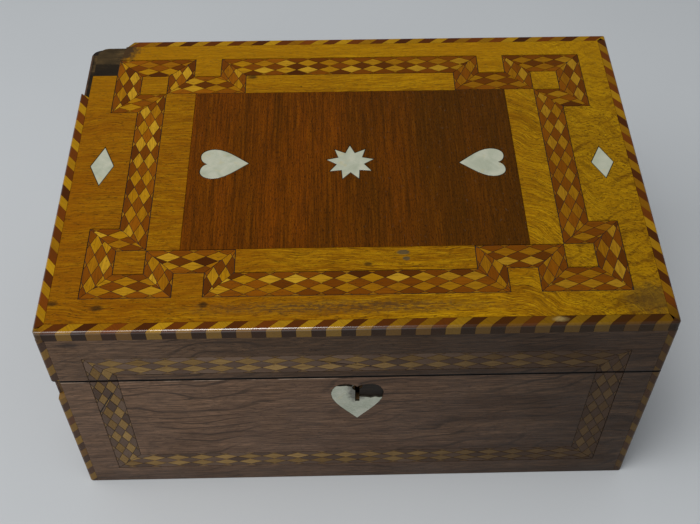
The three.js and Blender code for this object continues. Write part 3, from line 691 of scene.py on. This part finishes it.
top_path = np.concatenate([
    quarter_path(-1, BAND_FRONT, 1), quarter_path(1, BAND_FRONT, 1)[::-1],
    quarter_path(1, BAND_BACK, -1), quarter_path(-1, BAND_BACK, -1)[::-1]])
TOP_RUNS = [
    (12.2, 0.3), (12.9, 9.3), (12.5, 7.8), (12.2, 8.1), (12.2, 9.9), (12.2, 3.3), (12.25, 6.0),
    (12.6, 3.6), (12.2, 1.2), (12.2, 7.5), (12.3, 11.1), (13.1, 12.0), (12.2, 5.1), (12.2, 8.4),
    (12.4, 12.0), (12.9, 9.0), (12.2, 6.9), (12.2, 3.0), (13.1, 6.3), (12.2, 6.6), (12.4, 8.9),
    (12.3, 9.6), (12.6, 3.0), (12.7, 3.9), (12.2, 0.9), (13.1, 1.8), (13.1, 9.6), (12.5, 0.6)]


def face_number(place, name):
    """A number that each face carries under a name, for the tree that the place is in."""
    made = place.id_data.nodes.new("ShaderNodeAttribute")
    made.attribute_name = name
    return made.outputs["Fac"]


def own_place(place, chance, along, across=0.0):
    """The place moved by a piece's own chance, so that its grain differs from its neighbours'."""
    steps = put("CombineXYZ", X=times(chance, along), Y=times(chance, across)).outputs[0]
    return vector_of("ADD", place, steps)


def diamond_wood(name, pale_tints, deep_tints, dull_tint, dull_share):
    """Wood of the single diamonds: a tone for each piece, its own grain along it, darker toward the right,
    and old dirt with the seam's painted shade.
    """
    made, shader, place = material(name)
    light, chance, upright = (face_number(place, key) for key in ("light", "chance", "upright"))
    parts = put("SeparateXYZ", Vector=place).outputs
    swapped = put("CombineXYZ", X=parts[1], Y=parts[0], Z=parts[2]).outputs[0]
    own = put("Mix", {"data_type": "VECTOR"}, in_0=upright, in_4=place, in_5=swapped).outputs[1]
    grain = grained(own_place(own, chance, 900.0, 370.0), 1.2, 0.45)
    skin = aged(place)
    pale, deep = (stops(chance, *((spot, *tone) for spot, tone in zip((0.1, 0.5, 0.9), tones)))
                  for tones in (pale_tints, deep_tints))
    colour = blended(light, deep, pale)
    colour = layered(
        colour,
        ((84, 46, 8), between(grain["Fine"], 0.42, 0.66, 0.0, 0.4)),
        ((56, 32, 8), grain["Pore"], 0.5),
        # Darker toward the right: on the front frame painted shade, on the top a darker tone of the wood.
        (dull_tint, between(parts[0], -90.0, 125.0, 0.0, dull_share)))
    dirt = with_dirt_and_seam_shade(place)
    # Old dirt, the dark seam as painted shade of the gap with dirt in the joint, and specks.
    colour = layered(
        colour,
        ((56, 42, 30), dirt["Stain"], 0.85),
        ((16, 10, 8), dirt["Seam"]),
        ((44, 28, 10), skin["Speck"]))
    coloured(shader, colour, skin["Patch"], 0.26, 0.42, 0.06)
    old_relief(shader, skin, grain, 1.2, 0.07)
    return made


def old_glue():
    """Dark glue and dirt in the joints."""
    made, shader, place = material("old_glue")
    colour = stops(cloud(place, 0.5, 3.0), (0.3, 26, 15, 8), (0.7, 46, 29, 14))
    coloured(shader, colour, cloud(place, 0.3, 2.0), 0.6, 0.8)
    return made


top_diamonds = diamond_wood("diamond_wood_top", ((158, 98, 6), (184, 130, 10), (212, 164, 40)),
                            ((74, 34, 4), (128, 68, 4), (158, 92, 6)), (98, 54, 4), 0.4)
glue_finish = old_glue()


def lay_diamonds(name, diamonds, seed, laid, body, replaced, finish):
    """Insets the diamonds for their joints, drops slivers, gives each rod and piece its tone, lays them."""
    outlines, alive = inset(diamonds[0], JOINT_GAP / 2)
    alive &= areas(outlines) > SLIVER
    outlines, kind, upright, run = (values[alive] for values in (outlines, *diamonds[1:]))
    light = np.floor(kind)
    row = np.rint((kind - light) * 100)
    rod = (run * 7 + row).astype(int)
    light = np.where((row == 0) | (row == 6), 0.4, light)
    draw = np.random.default_rng(seed)
    chance = 0.4 * draw.uniform(0, 1, 400)[rod] + 0.6 * draw.beta(1.5, 1.5, len(light))
    spots = laid(outlines, tilted(outlines, 0.006, seed + 1))
    mesh = tile_mesh(name, outlines, spots, light=light, chance=chance, upright=upright)
    thick(finished_piece(name, mesh, body, finish, replaced), GLUE_DEPTH + 0.1, 0.07)


def on_top(outlines, depth):
    """Outlines of X and Y laid on the lid's face."""
    return np.concatenate([outlines, (HEIGHT + depth)[..., None]], -1)


lay_diamonds("top_band_diamonds", diamonds_along(top_path, TOP_RUNS, BAND, 0.22), 3, on_top, "lid",
             ["top_parquetry_band"], top_diamonds)


def glue_bed(name, corners, faces, laid, body):
    """Glue under a band: flat faces laid a little below the wood's face, with a thickness downwards."""
    spots = laid(corners, np.full(len(corners), -GLUE_DEPTH))
    thick(finished_piece(name, mesh_of(name, spots, faces.tolist()), body, glue_finish), GLUE_THICKNESS)


def ring(path, width):
    """Corners and faces of a closed band: its path moved aside to both borders and joined at the corners."""
    before, after = np.sign(path - np.roll(path, 1, 0)), np.sign(np.roll(path, -1, 0) - path)
    aside = np.stack([(before + after)[:, 1], -(before + after)[:, 0]], -1) * width / 2
    count = len(path)
    i = np.arange(count)
    faces = np.stack([i, (i + 1) % count, (i + 1) % count + count, i + count], -1)
    return np.concatenate([path + aside, path - aside]), faces


glue_bed("top_band_glue", *ring(top_path, BAND - 2 * GLUE_MARGIN), on_top, "lid")

# Edging round the top: slanted blocks of light and dark wood sawn from a built-up plank, let into the
# arris on all four sides and worn round and glossy. The back left corner has lost its blocks.
EDGING, EDGING_FOOT = 4.95, 136.8
EDGE_ROUND, CORNER_ROUND = 1.4, 2.2
SLANT, MITRE_GAP = 1.2, 0.02
BLOCK_LEAST, HELD_LEAST, HELD_STEP = 0.4, 0.03, 0.3
LOST_BACK, LOST_SIDE, BREAK_SLANT = 24.0, 46.0, 0.8


def edging_section():
    """Points round the bar's section as distance inwards and height, with the outer arris rounded."""
    turn = np.linspace(0, math.pi / 2, 6)
    arc = np.stack([EDGE_ROUND * (1 - np.cos(turn)), HEIGHT - EDGE_ROUND * (1 - np.sin(turn))], -1)
    foot = [[EDGING, EDGING_FOOT], [0.0, EDGING_FOOT], [0.0, 139.0]]
    return np.concatenate([foot, arc, [[3.0, HEIGHT], [EDGING, HEIGHT]]])


def held(low, high, start, end):
    """Block ends held between the strip's ends. Where nothing is left of a block beside an end, its edge goes
    a little way into the neighbour instead of lying flush in the end face."""
    low, high = np.clip(low, start, end), np.clip(high, start, end)
    gone = high - low < HELD_LEAST
    step = np.where(gone, np.where(high >= end - HELD_LEAST, -HELD_STEP, HELD_STEP), 0.0)
    return low + step, high + step


def cut_runs(cuts, shift, joint, start, end, steps):
    """For each section point the run between two cuts in equal steps, moved by the point's shift, held
    between the ends and kept off the joints; and for each block 1 for light wood. Empty blocks go."""
    low, high = held(cuts[:-1, None] + shift + joint, cuts[1:, None] + shift - joint, start, end)
    real = (high - low).max(axis=1) > BLOCK_LEAST
    low, high = low[real, None], high[real, None]
    return low + (high - low) * np.linspace(0, 1, steps)[:, None], (np.arange(len(real)) % 2 == 0)[real] * 1.0


def blocks_along(cuts, section, start, end):
    """Blocks between cuts that slant with the distance inwards, from one end of the run to the other."""
    inwards = section[:, 0]
    run, light = cut_runs(cuts, SLANT * inwards, 0.05, start(inwards), end(inwards), 6)
    inwards, height = (np.broadcast_to(column, run.shape) for column in section.T)
    return np.stack([run, inwards, height], -1), light


def block_mesh(name, spots, **values):
    """Closed blocks from (block, step, section point) spots: a skin round each and a face on both ends."""
    blocks, steps, points, _ = spots.shape
    index = np.arange(blocks * steps * points).reshape(blocks, steps, points)
    here, ahead = index[:, :-1], index[:, 1:]
    skin = np.stack([here, np.roll(here, -1, 2), np.roll(ahead, -1, 2), ahead], -1).reshape(-1, 4)
    caps = [*index[:, 0, ::-1].tolist(), *index[:, -1].tolist()]
    mesh = mesh_of(name, spots, skin.tolist() + caps)
    count = (steps - 1) * points
    face_values(mesh, **{key: np.concatenate([np.repeat(value, count), value, value])
                         for key, value in values.items()})
    shaped = bmesh.new()
    shaped.from_mesh(mesh)
    if shaped.calc_volume(signed=True) < 0:
        bmesh.ops.reverse_faces(shaped, faces=shaped.faces)
    shaped.to_mesh(mesh)
    shaped.free()
    mesh.update()
    return mesh


def turned(spots, quarter):
    """Run, inwards and height taken to X, Y and Z for the side that many quarter turns from the front."""
    across = half_length if quarter % 2 else half_depth
    run, inwards, height = np.moveaxis(spots, -1, 0)
    plane = run + 1j * (inwards - across)
    plane = plane * 1j ** quarter
    return np.stack([plane.real, plane.imag, height], -1)


def worn_corners(spots, radius):
    """Points beyond the arc at each upright corner are drawn back to it; one radius for all or one each."""
    radius = np.broadcast_to(radius, spots.shape[:-1])
    middle = np.array([half_length, half_depth]) - radius[..., None]
    side = np.sign(spots[..., :2])
    past = np.maximum(np.abs(spots[..., :2]) - middle, 0)
    far = np.hypot(past[..., 0], past[..., 1])
    keep = np.where(far > radius, radius / np.maximum(far, 1e-9), 1.0)[..., None]
    moved = spots.copy()
    moved[..., :2] = np.where(past > 0, side * (middle + past * keep), spots[..., :2])
    return moved


def edging_wood():
    """Light and dark blocks: a tone for each, streaks along the block, glossier on the arris, painted shade
    from the arris down and on the front's right.
    """
    made, shader, place = material("edging_wood")
    light, chance = face_number(place, "light"), face_number(place, "chance")
    x, y, z = (axis_of(place, axis) for axis in range(3))
    grain = grained(stretched(own_place(place, chance, 700.0), turn=50.0), 1.1, 0.4)
    skin = aged(place)
    pale = stops(chance, (0.0, 147, 97, 6), (0.5, 169, 121, 10), (1.0, 192, 144, 20))
    deep = stops(chance, (0.0, 72, 34, 6), (0.5, 98, 48, 8), (1.0, 128, 65, 8))
    colour = blended(light, deep, pale)
    colour = layered(
        colour,
        ((80, 46, 10), between(grain["Fine"], 0.42, 0.66, 0.0, 0.25)),
        ((54, 30, 8), grain["Pore"], 0.5))
    # Painted shade: the arris and the upright faces below it greyed, and the dark blocks there darkened more.
    low = between(z, 142.9, 141.2)
    colour = washed(colour, (94, 79, 66), low, 0.5)
    dark_block_painted_shade = times(low, sum_of("SUBTRACT", 1.0, light))
    dark_block_painted_shade = times(dark_block_painted_shade, between(z, 136.0, 137.0, 0.15, 0.7))
    colour = washed(colour, (38, 28, 22), dark_block_painted_shade)
    # Painted shade: darker toward the right, most along the front run.
    painted_shade_falloff = times(between(x, -90.0, 150.0, 0.0, 0.62), between(y, -88.0, -98.0, 0.3, 1.0))
    colour = washed(colour, (48, 32, 8), painted_shade_falloff)
    for side in (-150.0, 150.0):
        bump = near_spot(place, (side, -104.0, 140.5), (4.5, 4.5, 5.0), 0.5, 1.0)
        colour = washed(colour, (44, 32, 22), bump, 0.65)
    fleck = near_spot(place, (94.0, -100.6, 143.2), (2.7, 1.3, 2.0), 0.6, 1.6)
    colour = layered(
        colour,
        ((190, 166, 106), fleck, 0.55),
        ((40, 26, 14), skin["Speck"]))
    dirt = with_dirt_and_seam_shade(place)
    # The dark seam is painted shade of the gap with dirt in the joint; the corner stain is real dirt.
    colour = layered(
        colour,
        ((16, 10, 8), dirt["Seam"]),
        ((46, 38, 34), dirt["Corner"]))
    coloured(shader, colour, skin["Patch"], 0.2, 0.34, 0.08)
    polish = times(between(z, 141.4, 142.2), between(z, 143.19, 143.0))
    polish = times(polish, between(skin["Patch"], 0.35, 0.55, 0.5, 1.0))
    polish = times(polish, between(x, 60.0, 0.0, 0.2, 1.0))
    fed(shader, "Coat Weight", polish)
    shader.inputs["Coat Roughness"].default_value = 0.16
    shader.inputs["Coat IOR"].default_value = 2.2
    old_relief(shader, skin, grain, 2.0, 0.05)
    return made


edging_finish = edging_wood()


def striped_cuts(first, light_length, dark_length, reach=160.0):
    """Cuts of a light block from first on and a dark one after it, repeated both ways past the reach."""
    pitch = light_length + dark_length
    before, after = math.ceil((first + reach) / pitch), math.ceil((reach - first) / pitch)
    starts = first + pitch * np.arange(-before, after + 1)
    return np.stack([starts, starts + light_length], -1).ravel()


def lay_blocks(name, spots, light, seed, body, replaced):
    """Gives the blocks their tones and places them."""
    draw = np.random.default_rng(seed)
    mesh = block_mesh(name, spots, light=light, chance=draw.uniform(0, 1, len(light)))
    finished_piece(name, mesh, body, edging_finish, replaced)


def mitred(half, way):
    """An end mitred with its neighbour's: where it lies along the run, by the distance inwards."""
    return lambda inwards: way * (half - inwards - MITRE_GAP)


def broken(spot):
    """An end broken off on a slant about a spot on the run, by the distance inwards."""
    return lambda inwards: spot + BREAK_SLANT * (inwards - 2.5)


edging_runs = [
    ("front", mitred(half_length, -1), mitred(half_length, 1), (-0.95, 7.1, 6.75)),
    ("right", mitred(half_depth, -1), mitred(half_depth, 1), (3.5, 6.9, 6.6)),
    ("back", mitred(half_length, -1), broken(half_length - LOST_BACK), (-18.0, 6.8, 7.05)),
    ("left", broken(LOST_SIDE - half_depth), mitred(half_depth, 1), (-11.6, 6.6, 7.3))]
for quarter, (side, start, end, lengths) in enumerate(edging_runs):
    spots, light = blocks_along(striped_cuts(*lengths), edging_section(), start, end)
    lay_blocks(f"top_edging_{side}_blocks", worn_corners(turned(spots, quarter), CORNER_ROUND), light,
               11 + quarter, "lid", [f"top_edging_{side}"])

# Corner strips: the same slanted blocks set upright at the four corners, above and below the seam. The back
# ones are bevelled where the hinges stop the lid; the front left one has lost its end next to the seam.
STRIP, STRIP_ROUND, STRIP_SLANT, STRIP_BLOCK = 4.5, 1.8, 1.1, 6.7
FOOT = 0.3
BEVEL, BEVEL_SLOPE = 2.5, math.tan(math.radians(48))
BROKEN_TOP, WORN_FROM, WORN_ROUND = 86.7, 112.0, 5.6


def strip_section():
    """Points round the strip's section as distances inwards from its two outer faces."""
    turn = np.linspace(0, math.pi / 2, 5)
    arc = STRIP_ROUND * np.stack([1 - np.sin(turn), 1 - np.cos(turn)], -1)
    rest = [[0.0, BEVEL], [0.0, STRIP], [STRIP, STRIP], [STRIP, BEVEL], [STRIP, 0.0], [BEVEL, 0.0]]
    return np.concatenate([arc, rest])


def strip_spots(cuts, section, side_x, side_y, low_end, high_end):
    """Blocks of an upright strip: each cut rises with the distance inwards from both faces."""
    z, light = cut_runs(cuts, STRIP_SLANT * section.sum(-1), 0.04, low_end, high_end, 4)
    x = np.broadcast_to(side_x * (half_length - section[:, 0]), z.shape)
    y = np.broadcast_to(side_y * (half_depth - section[:, 1]), z.shape)
    return np.stack([x, y, z], -1), light


strip_first = {"front_left": -1.2, "front_right": 1.7, "back_left": 0.0, "back_right": 3.0}
for number, (corner, first) in enumerate(strip_first.items()):
    side_x, side_y = (-1 if "left" in corner else 1), (-1 if "front" in corner else 1)
    for body, foot, top in (("base", FOOT, SEAM_LOW), ("lid", SEAM_HIGH, EDGING_FOOT - 0.05)):
        section = strip_section()
        low_end, high_end = np.full(len(section), foot), np.full(len(section), top)
        bevel = BEVEL_SLOPE * np.maximum(BEVEL - section[:, 1], 0) if side_y > 0 else 0.0
        if body == "lid":
            low_end = low_end + bevel
        elif corner == "front_left":
            high_end = BROKEN_TOP + BREAK_SLANT * (section[:, 0] - 2.25)
        else:
            high_end = high_end - bevel
        cuts = striped_cuts(first, STRIP_BLOCK, STRIP_BLOCK)
        spots, light = strip_spots(cuts, section, side_x, side_y, low_end, high_end)
        if body == "lid" and corner == "back_left":
            radius = np.interp(spots[..., 2], [WORN_FROM, EDGING_FOOT], [STRIP_ROUND, WORN_ROUND])
            spots = worn_corners(spots, radius)
        lay_blocks(f"{body}_{corner}_blocks", spots, light, 31 + number, body, [f"{body}_{corner}_strip"])

# Frame of parquetry on the front: the same diamonds, in a plain frame that the seam was sawn through after
# it was laid, so that its upright sides are cut in two. A split runs through the left side and the top.
FRAME_BAND, FRAME_END, FRAME_LOW, FRAME_HIGH = 14.0, 131.2, 14.6, 121.4


def on_front(outlines, depth):
    """Outlines of X and Z laid on the front face."""
    return np.stack([outlines[..., 0], -half_depth - depth, outlines[..., 1]], -1)


inner = FRAME_BAND / 2
frame_path = np.array([[-FRAME_END + inner, FRAME_LOW + inner], [FRAME_END - inner, FRAME_LOW + inner],
                       [FRAME_END - inner, FRAME_HIGH - inner], [-FRAME_END + inner, FRAME_HIGH - inner]])
FRAME_RUNS = [(13.1, 6.9), (12.2, 5.6), (13.1, 0.0), (12.1, 11.7)]


def split_by(found, start, end, gap):
    """A crack: the diamonds that lie beside the line from start to end are cut along it, and both halves keep
    half the gap from it. The rest stay as they are."""
    outlines, *values = found
    start, end = np.array(start), np.array(end)
    along = (end - start) / np.hypot(*(end - start))
    normal = np.array([-along[1], along[0]])
    reach = (outlines.mean(axis=1) - start) @ along
    near = (reach > 0) & (reach < np.hypot(*(end - start)))
    parts = [(outlines[~near], *(value[~near] for value in values))]
    for way in (normal, -normal):
        cut, kept = kept_below(outlines[near], way, start @ way - gap / 2)
        parts.append((cut[kept], *(value[near][kept] for value in values)))
    return joined(parts)


whole_frame = diamonds_along(frame_path, FRAME_RUNS, FRAME_BAND, 0.04)
for start, end, gap in (((-120.5, 94.0), (-132.0, 71.0), 0.42), ((-16.0, 116.0), (11.0, 109.5), 0.35)):
    whole_frame = split_by(whole_frame, start, end, gap)
# The front frame's tones are darker and greyer than the top's for the same wood: painted shade of the front
# face.
front_diamonds = diamond_wood("diamond_wood_front", ((142, 110, 62), (168, 134, 80), (192, 154, 94)),
                              ((92, 74, 62), (116, 95, 80), (140, 115, 95)), (62, 44, 30), 0.8)
for body, up, limit in (("base", 1.0, SEAM_LOW), ("lid", -1.0, -SEAM_HIGH)):
    outlines, kept = kept_below(whole_frame[0], np.array([0.0, up]), limit)
    diamonds = [values[kept] for values in (outlines, *whole_frame[1:])]
    lay_diamonds(f"{body}_frame_diamonds", diamonds, 51, on_front, body, [f"{body}_front_band"],
                 front_diamonds)


def frame_bed(body, low, high):
    """The glue bed of the frame's part below or above the seam, as three straight bars."""
    end, wide = FRAME_END - GLUE_MARGIN, FRAME_BAND - 2 * GLUE_MARGIN
    foot = (FRAME_LOW if body == "base" else FRAME_HIGH - FRAME_BAND) + GLUE_MARGIN
    level = foot, foot + wide
    rest = (level[1], high) if body == "base" else (low, level[0])
    bars = np.array([[-end, level[0], end, level[1]], [-end, rest[0], -end + wide, rest[1]],
                     [end - wide, rest[0], end, rest[1]]])
    corners = bars[:, [[0, 1], [2, 1], [2, 3], [0, 3]]].reshape(-1, 2)
    glue_bed(f"{body}_frame_glue", corners, np.arange(12).reshape(3, 4), on_front, body)


frame_bed("base", FOOT, SEAM_LOW)
frame_bed("lid", SEAM_HIGH, 130.0)

# Shell inlays: flat pieces of pearl shell fretted to shape and let in flush, hearts, a star and lozenges
# on the top and a heart-shaped key plate on the front, polished, with their arrises worn.


def pearl_shell():
    """Pearl: greenish white with slow cloudy bands, fine growth lines and a soft lustre."""
    made, shader, place = material("pearl_shell")
    clouds = cloud(place, 0.12, 4.0, 0.55, 0.8)
    lines = drawn_out(place, (0.12, 1.1, 0.6), 3.0, 0.6, 0.5, turn=25.0)
    colour = stops(clouds, (0.3, 176, 181, 158), (0.5, 192, 195, 173), (0.72, 208, 207, 186))
    colour = washed(colour, (176, 181, 160), between(lines, 0.45, 0.75, 0.0, 0.25))
    yellow = between(cloud(place, 0.2, 2.0), 0.58, 0.72)
    colour = washed(colour, (206, 186, 122), yellow, 0.25)
    top = between(axis_of(place, 2), 143.19, 143.08)
    face = between(axis_of(place, 1), -103.79, -103.68)
    rim = sum_of("MINIMUM", top, face)
    colour = washed(colour, (34, 26, 18), rim, 0.92)
    # Darker about and inside the keyhole of the key plate.
    dark_about_keyhole = near_spot(place, (-0.6, -104.0, 90.0), (4.6, 3.0, 9.5), 0.35, 1.2)
    colour = washed(colour, (52, 44, 34), dark_about_keyhole, 0.8)
    coloured(shader, colour, lines, 0.2, 0.34)
    shader.inputs["Coat Weight"].default_value = 0.4
    shader.inputs["Coat Roughness"].default_value = 0.1
    relief(shader, sum_of("ADD", lines, clouds), 0.06)
    return made


def softened_copy(node_name, name, body):
    """The CAD node's mesh, its loose corners merged, with its arrises worn by a bevel."""
    shaped = bmesh.new()
    shaped.from_mesh(nodes[node_name].data)
    bmesh.ops.remove_doubles(shaped, verts=shaped.verts, dist=1e-7)
    flat = [e for e in shaped.edges if len(e.link_faces) == 2 and e.calc_face_angle() < 0.001]
    bmesh.ops.dissolve_edges(shaped, edges=flat, use_verts=False)
    mesh = bpy.data.meshes.new(name)
    shaped.to_mesh(mesh)
    shaped.free()
    made = finished_piece(name, mesh, body, shell_finish, [node_name])
    soft = made.modifiers.new("worn_arris", "BEVEL")
    soft.width, soft.segments, soft.limit_method, soft.angle_limit = SHELL_WEAR * MM, 2, "ANGLE", 0.6


shell_finish = pearl_shell()
SHELL_WEAR = 0.42
for inlay in ("heart_left", "heart_right", "lozenge_left", "lozenge_right", "star"):
    softened_copy(f"shell_{inlay}", f"shell_{inlay}_inlay", "lid")
softened_copy("key_escutcheon", "key_heart_inlay", "base")

# Brass: a box lock let into the front board with its link plate in the lid, and two butt hinges with
# their pins, all dull with age.


def old_brass():
    """Brass: dull yellow-brown with dark tarnish in clouds and fine scratches, and painted shade in the
    keyhole.
    """
    made, shader, place = material("old_brass")
    tarnish = cloud(place, 0.18, 5.0, 0.65)
    colour = stops(tarnish, (0.3, 112, 88, 48), (0.55, 164, 132, 74), (0.8, 186, 154, 92))
    # Painted shade: the lock's face seen through the keyhole made nearly black.
    keyhole_painted_shade = near_spot(place, (0.0, -99.5, 88.0), (12.0, 3.2, 16.0), 0.2)
    colour = washed(colour, (18, 13, 8), keyhole_painted_shade)
    scratch = drawn_out(place, (0.3, 6.0, 6.0), 3.0)
    coloured(shader, colour, tarnish, 0.55, 0.32)
    shader.inputs["Metallic"].default_value = 1.0
    relief(shader, scratch, 0.03)
    return made


brass = old_brass()
HEAD, SLOT = 1.45, 0.4
for name in ("lock", "lock_link_plate", *[f"hinge_{side}_{part}" for side in ("left", "right")
                                          for part in ("base_leaf", "lid_leaf", "pin")]):
    dressed(name, brass)


def screw_heads(name, spots, towards, body):
    """Slotted flat heads: for each spot two half discs beside a slot, in three rings from below the face to
    the top, turned about the screw's axis by a chance angle."""
    arc = np.linspace(0, math.pi, 9)
    half = np.stack([HEAD * np.cos(arc), SLOT / 2 + (HEAD - SLOT / 2) * np.sin(arc)], -1)
    rings = np.stack([np.concatenate([half * scale, np.full((9, 1), height)], -1)
                      for scale, height in ((1.0, -0.3), (1.0, 0.03), (0.93, 0.1))])
    both = np.stack([rings, rings * (-1, -1, 1)])
    angles = np.random.default_rng(len(spots)).uniform(0, math.pi, len(spots))
    cosine, sine = np.cos(angles), np.sin(angles)
    flat = np.array([[cosine, -sine], [sine, cosine]]).transpose(2, 0, 1)
    local = np.concatenate([np.einsum("nij,hrpj->nhrpi", flat, both[..., :2]),
                            np.broadcast_to(both[None, ..., 2:], (len(spots), *both.shape[:-1], 1))], -1)
    side = (1, 0, 0)
    points = local @ np.array([side, np.cross(towards, side), towards]) + np.array(spots)[:, None, None, None]
    index = np.arange(points.size // 3).reshape(len(spots) * 2, 3, 9)
    here, ahead = index[:, :-1], index[:, 1:]
    skin = np.stack([here, np.roll(here, -1, 2), np.roll(ahead, -1, 2), ahead], -1).reshape(-1, 4)
    mesh = mesh_of(name, points, [*skin.tolist(), *index[:, 2].tolist(), *index[:, 0, ::-1].tolist()])
    finished_piece(name, mesh, body, brass)


UP, DOWN, INWARDS = (0, 0, 1), (0, 0, -1), (0, 1, 0)
HINGE, SCREW_STEP, SCREW_ROW, SCREW_ASIDE = 90.0, 14.0, 96.7, 0.6
leaf_spots = [(side * HINGE + step * SCREW_STEP, SCREW_ROW + SCREW_ASIDE * abs(step))
              for side in (-1, 1) for step in (-1, 0, 1)]
screw_heads("hinge_base_screws", [(x, y, SEAM_LOW) for x, y in leaf_spots], UP, "base")
screw_heads("hinge_lid_screws", [(x, y, SEAM_HIGH) for x, y in leaf_spots], DOWN, "lid")
screw_heads("lock_plate_screws", [(x, -97.3, SEAM_LOW) for x in (-22.0, 22.0)], UP, "base")
screw_heads("lock_case_screws", [(x, -93.8, z) for x in (-23.0, 23.0) for z in (70.5, 92.0)], INWARDS, "base")
screw_heads("link_plate_screws", [(x, -97.6, SEAM_HIGH) for x in (-13.5, 13.5)], DOWN, "lid")

# Surroundings: a pale floor, two large soft lights above, one of them to the left, and the camera where
# the photograph was taken from.


def floor_finish():
    """Matt pale paper, slightly cool, with a faint cloudiness."""
    made, shader, place = material("pale_floor")
    colour = stops(cloud(place, 0.004, 2.0), (0.3, 214, 218, 222), (0.7, 218, 222, 226))
    fed(shader, "Base Color", colour)
    shader.inputs["Roughness"].default_value = 0.7
    return made


ground = bpy.data.meshes.new("floor")
ground.from_pydata([(-3, -3, 0), (3, -3, 0), (3, 3, 0), (-3, 3, 0)], [], [(0, 1, 2, 3)])
ground.materials.append(floor_finish())
floor = bpy.data.objects.new("floor", ground)
bpy.context.collection.objects.link(floor)

world = bpy.data.worlds.new("room")
world.use_nodes = True
world.node_tree.nodes["Background"].inputs["Color"].default_value = (0.93, 0.97, 1.0, 1.0)
world.node_tree.nodes["Background"].inputs["Strength"].default_value = 0.28
bpy.context.scene.world = world


def soft_light(name, place, aim, size, power, colour):
    """A square lamp that looks at a spot."""
    lamp = bpy.data.lights.new(name, "AREA")
    lamp.shape, lamp.size, lamp.energy, lamp.color = "SQUARE", size, power, colour
    made = bpy.data.objects.new(name, lamp)
    bpy.context.collection.objects.link(made)
    towards = Vector(aim) - Vector(place)
    made.location = place
    made.rotation_mode = "QUATERNION"
    made.rotation_quaternion = towards.to_track_quat("-Z", "Y")
    return made


overhead = soft_light("overhead", (-0.2, -0.3, 1.5), (0, 0, 0.1), 0.5, 5.5, (1.0, 0.985, 0.96))
window = soft_light("window", (-0.8, -0.35, 1.4), (0, 0, 0.1), 1.2, 8.0, (1.0, 0.99, 0.97))
bpy.context.scene.view_settings.view_transform = "Standard"

lens = bpy.data.cameras.new("camera")
lens.lens, lens.sensor_width = 54.19, 36.0
lens.dof.use_dof = False
camera = bpy.data.objects.new("camera", lens)
bpy.context.collection.objects.link(camera)
CAMERA_PLACE = -0.0098, -0.38613, 0.53844
CAMERA_RIGHT = 0.99977, -0.02142, 0.00015
CAMERA_UP = 0.01652, 0.77548, 0.63116
CAMERA_BACK = -0.01364, -0.63101, 0.77566
rows = zip(CAMERA_RIGHT, CAMERA_UP, CAMERA_BACK, CAMERA_PLACE)
camera.matrix_world = Matrix([*rows, (0, 0, 0, 1)])
lens.clip_start, lens.clip_end = 0.01, 20.0
bpy.context.scene.camera = camera
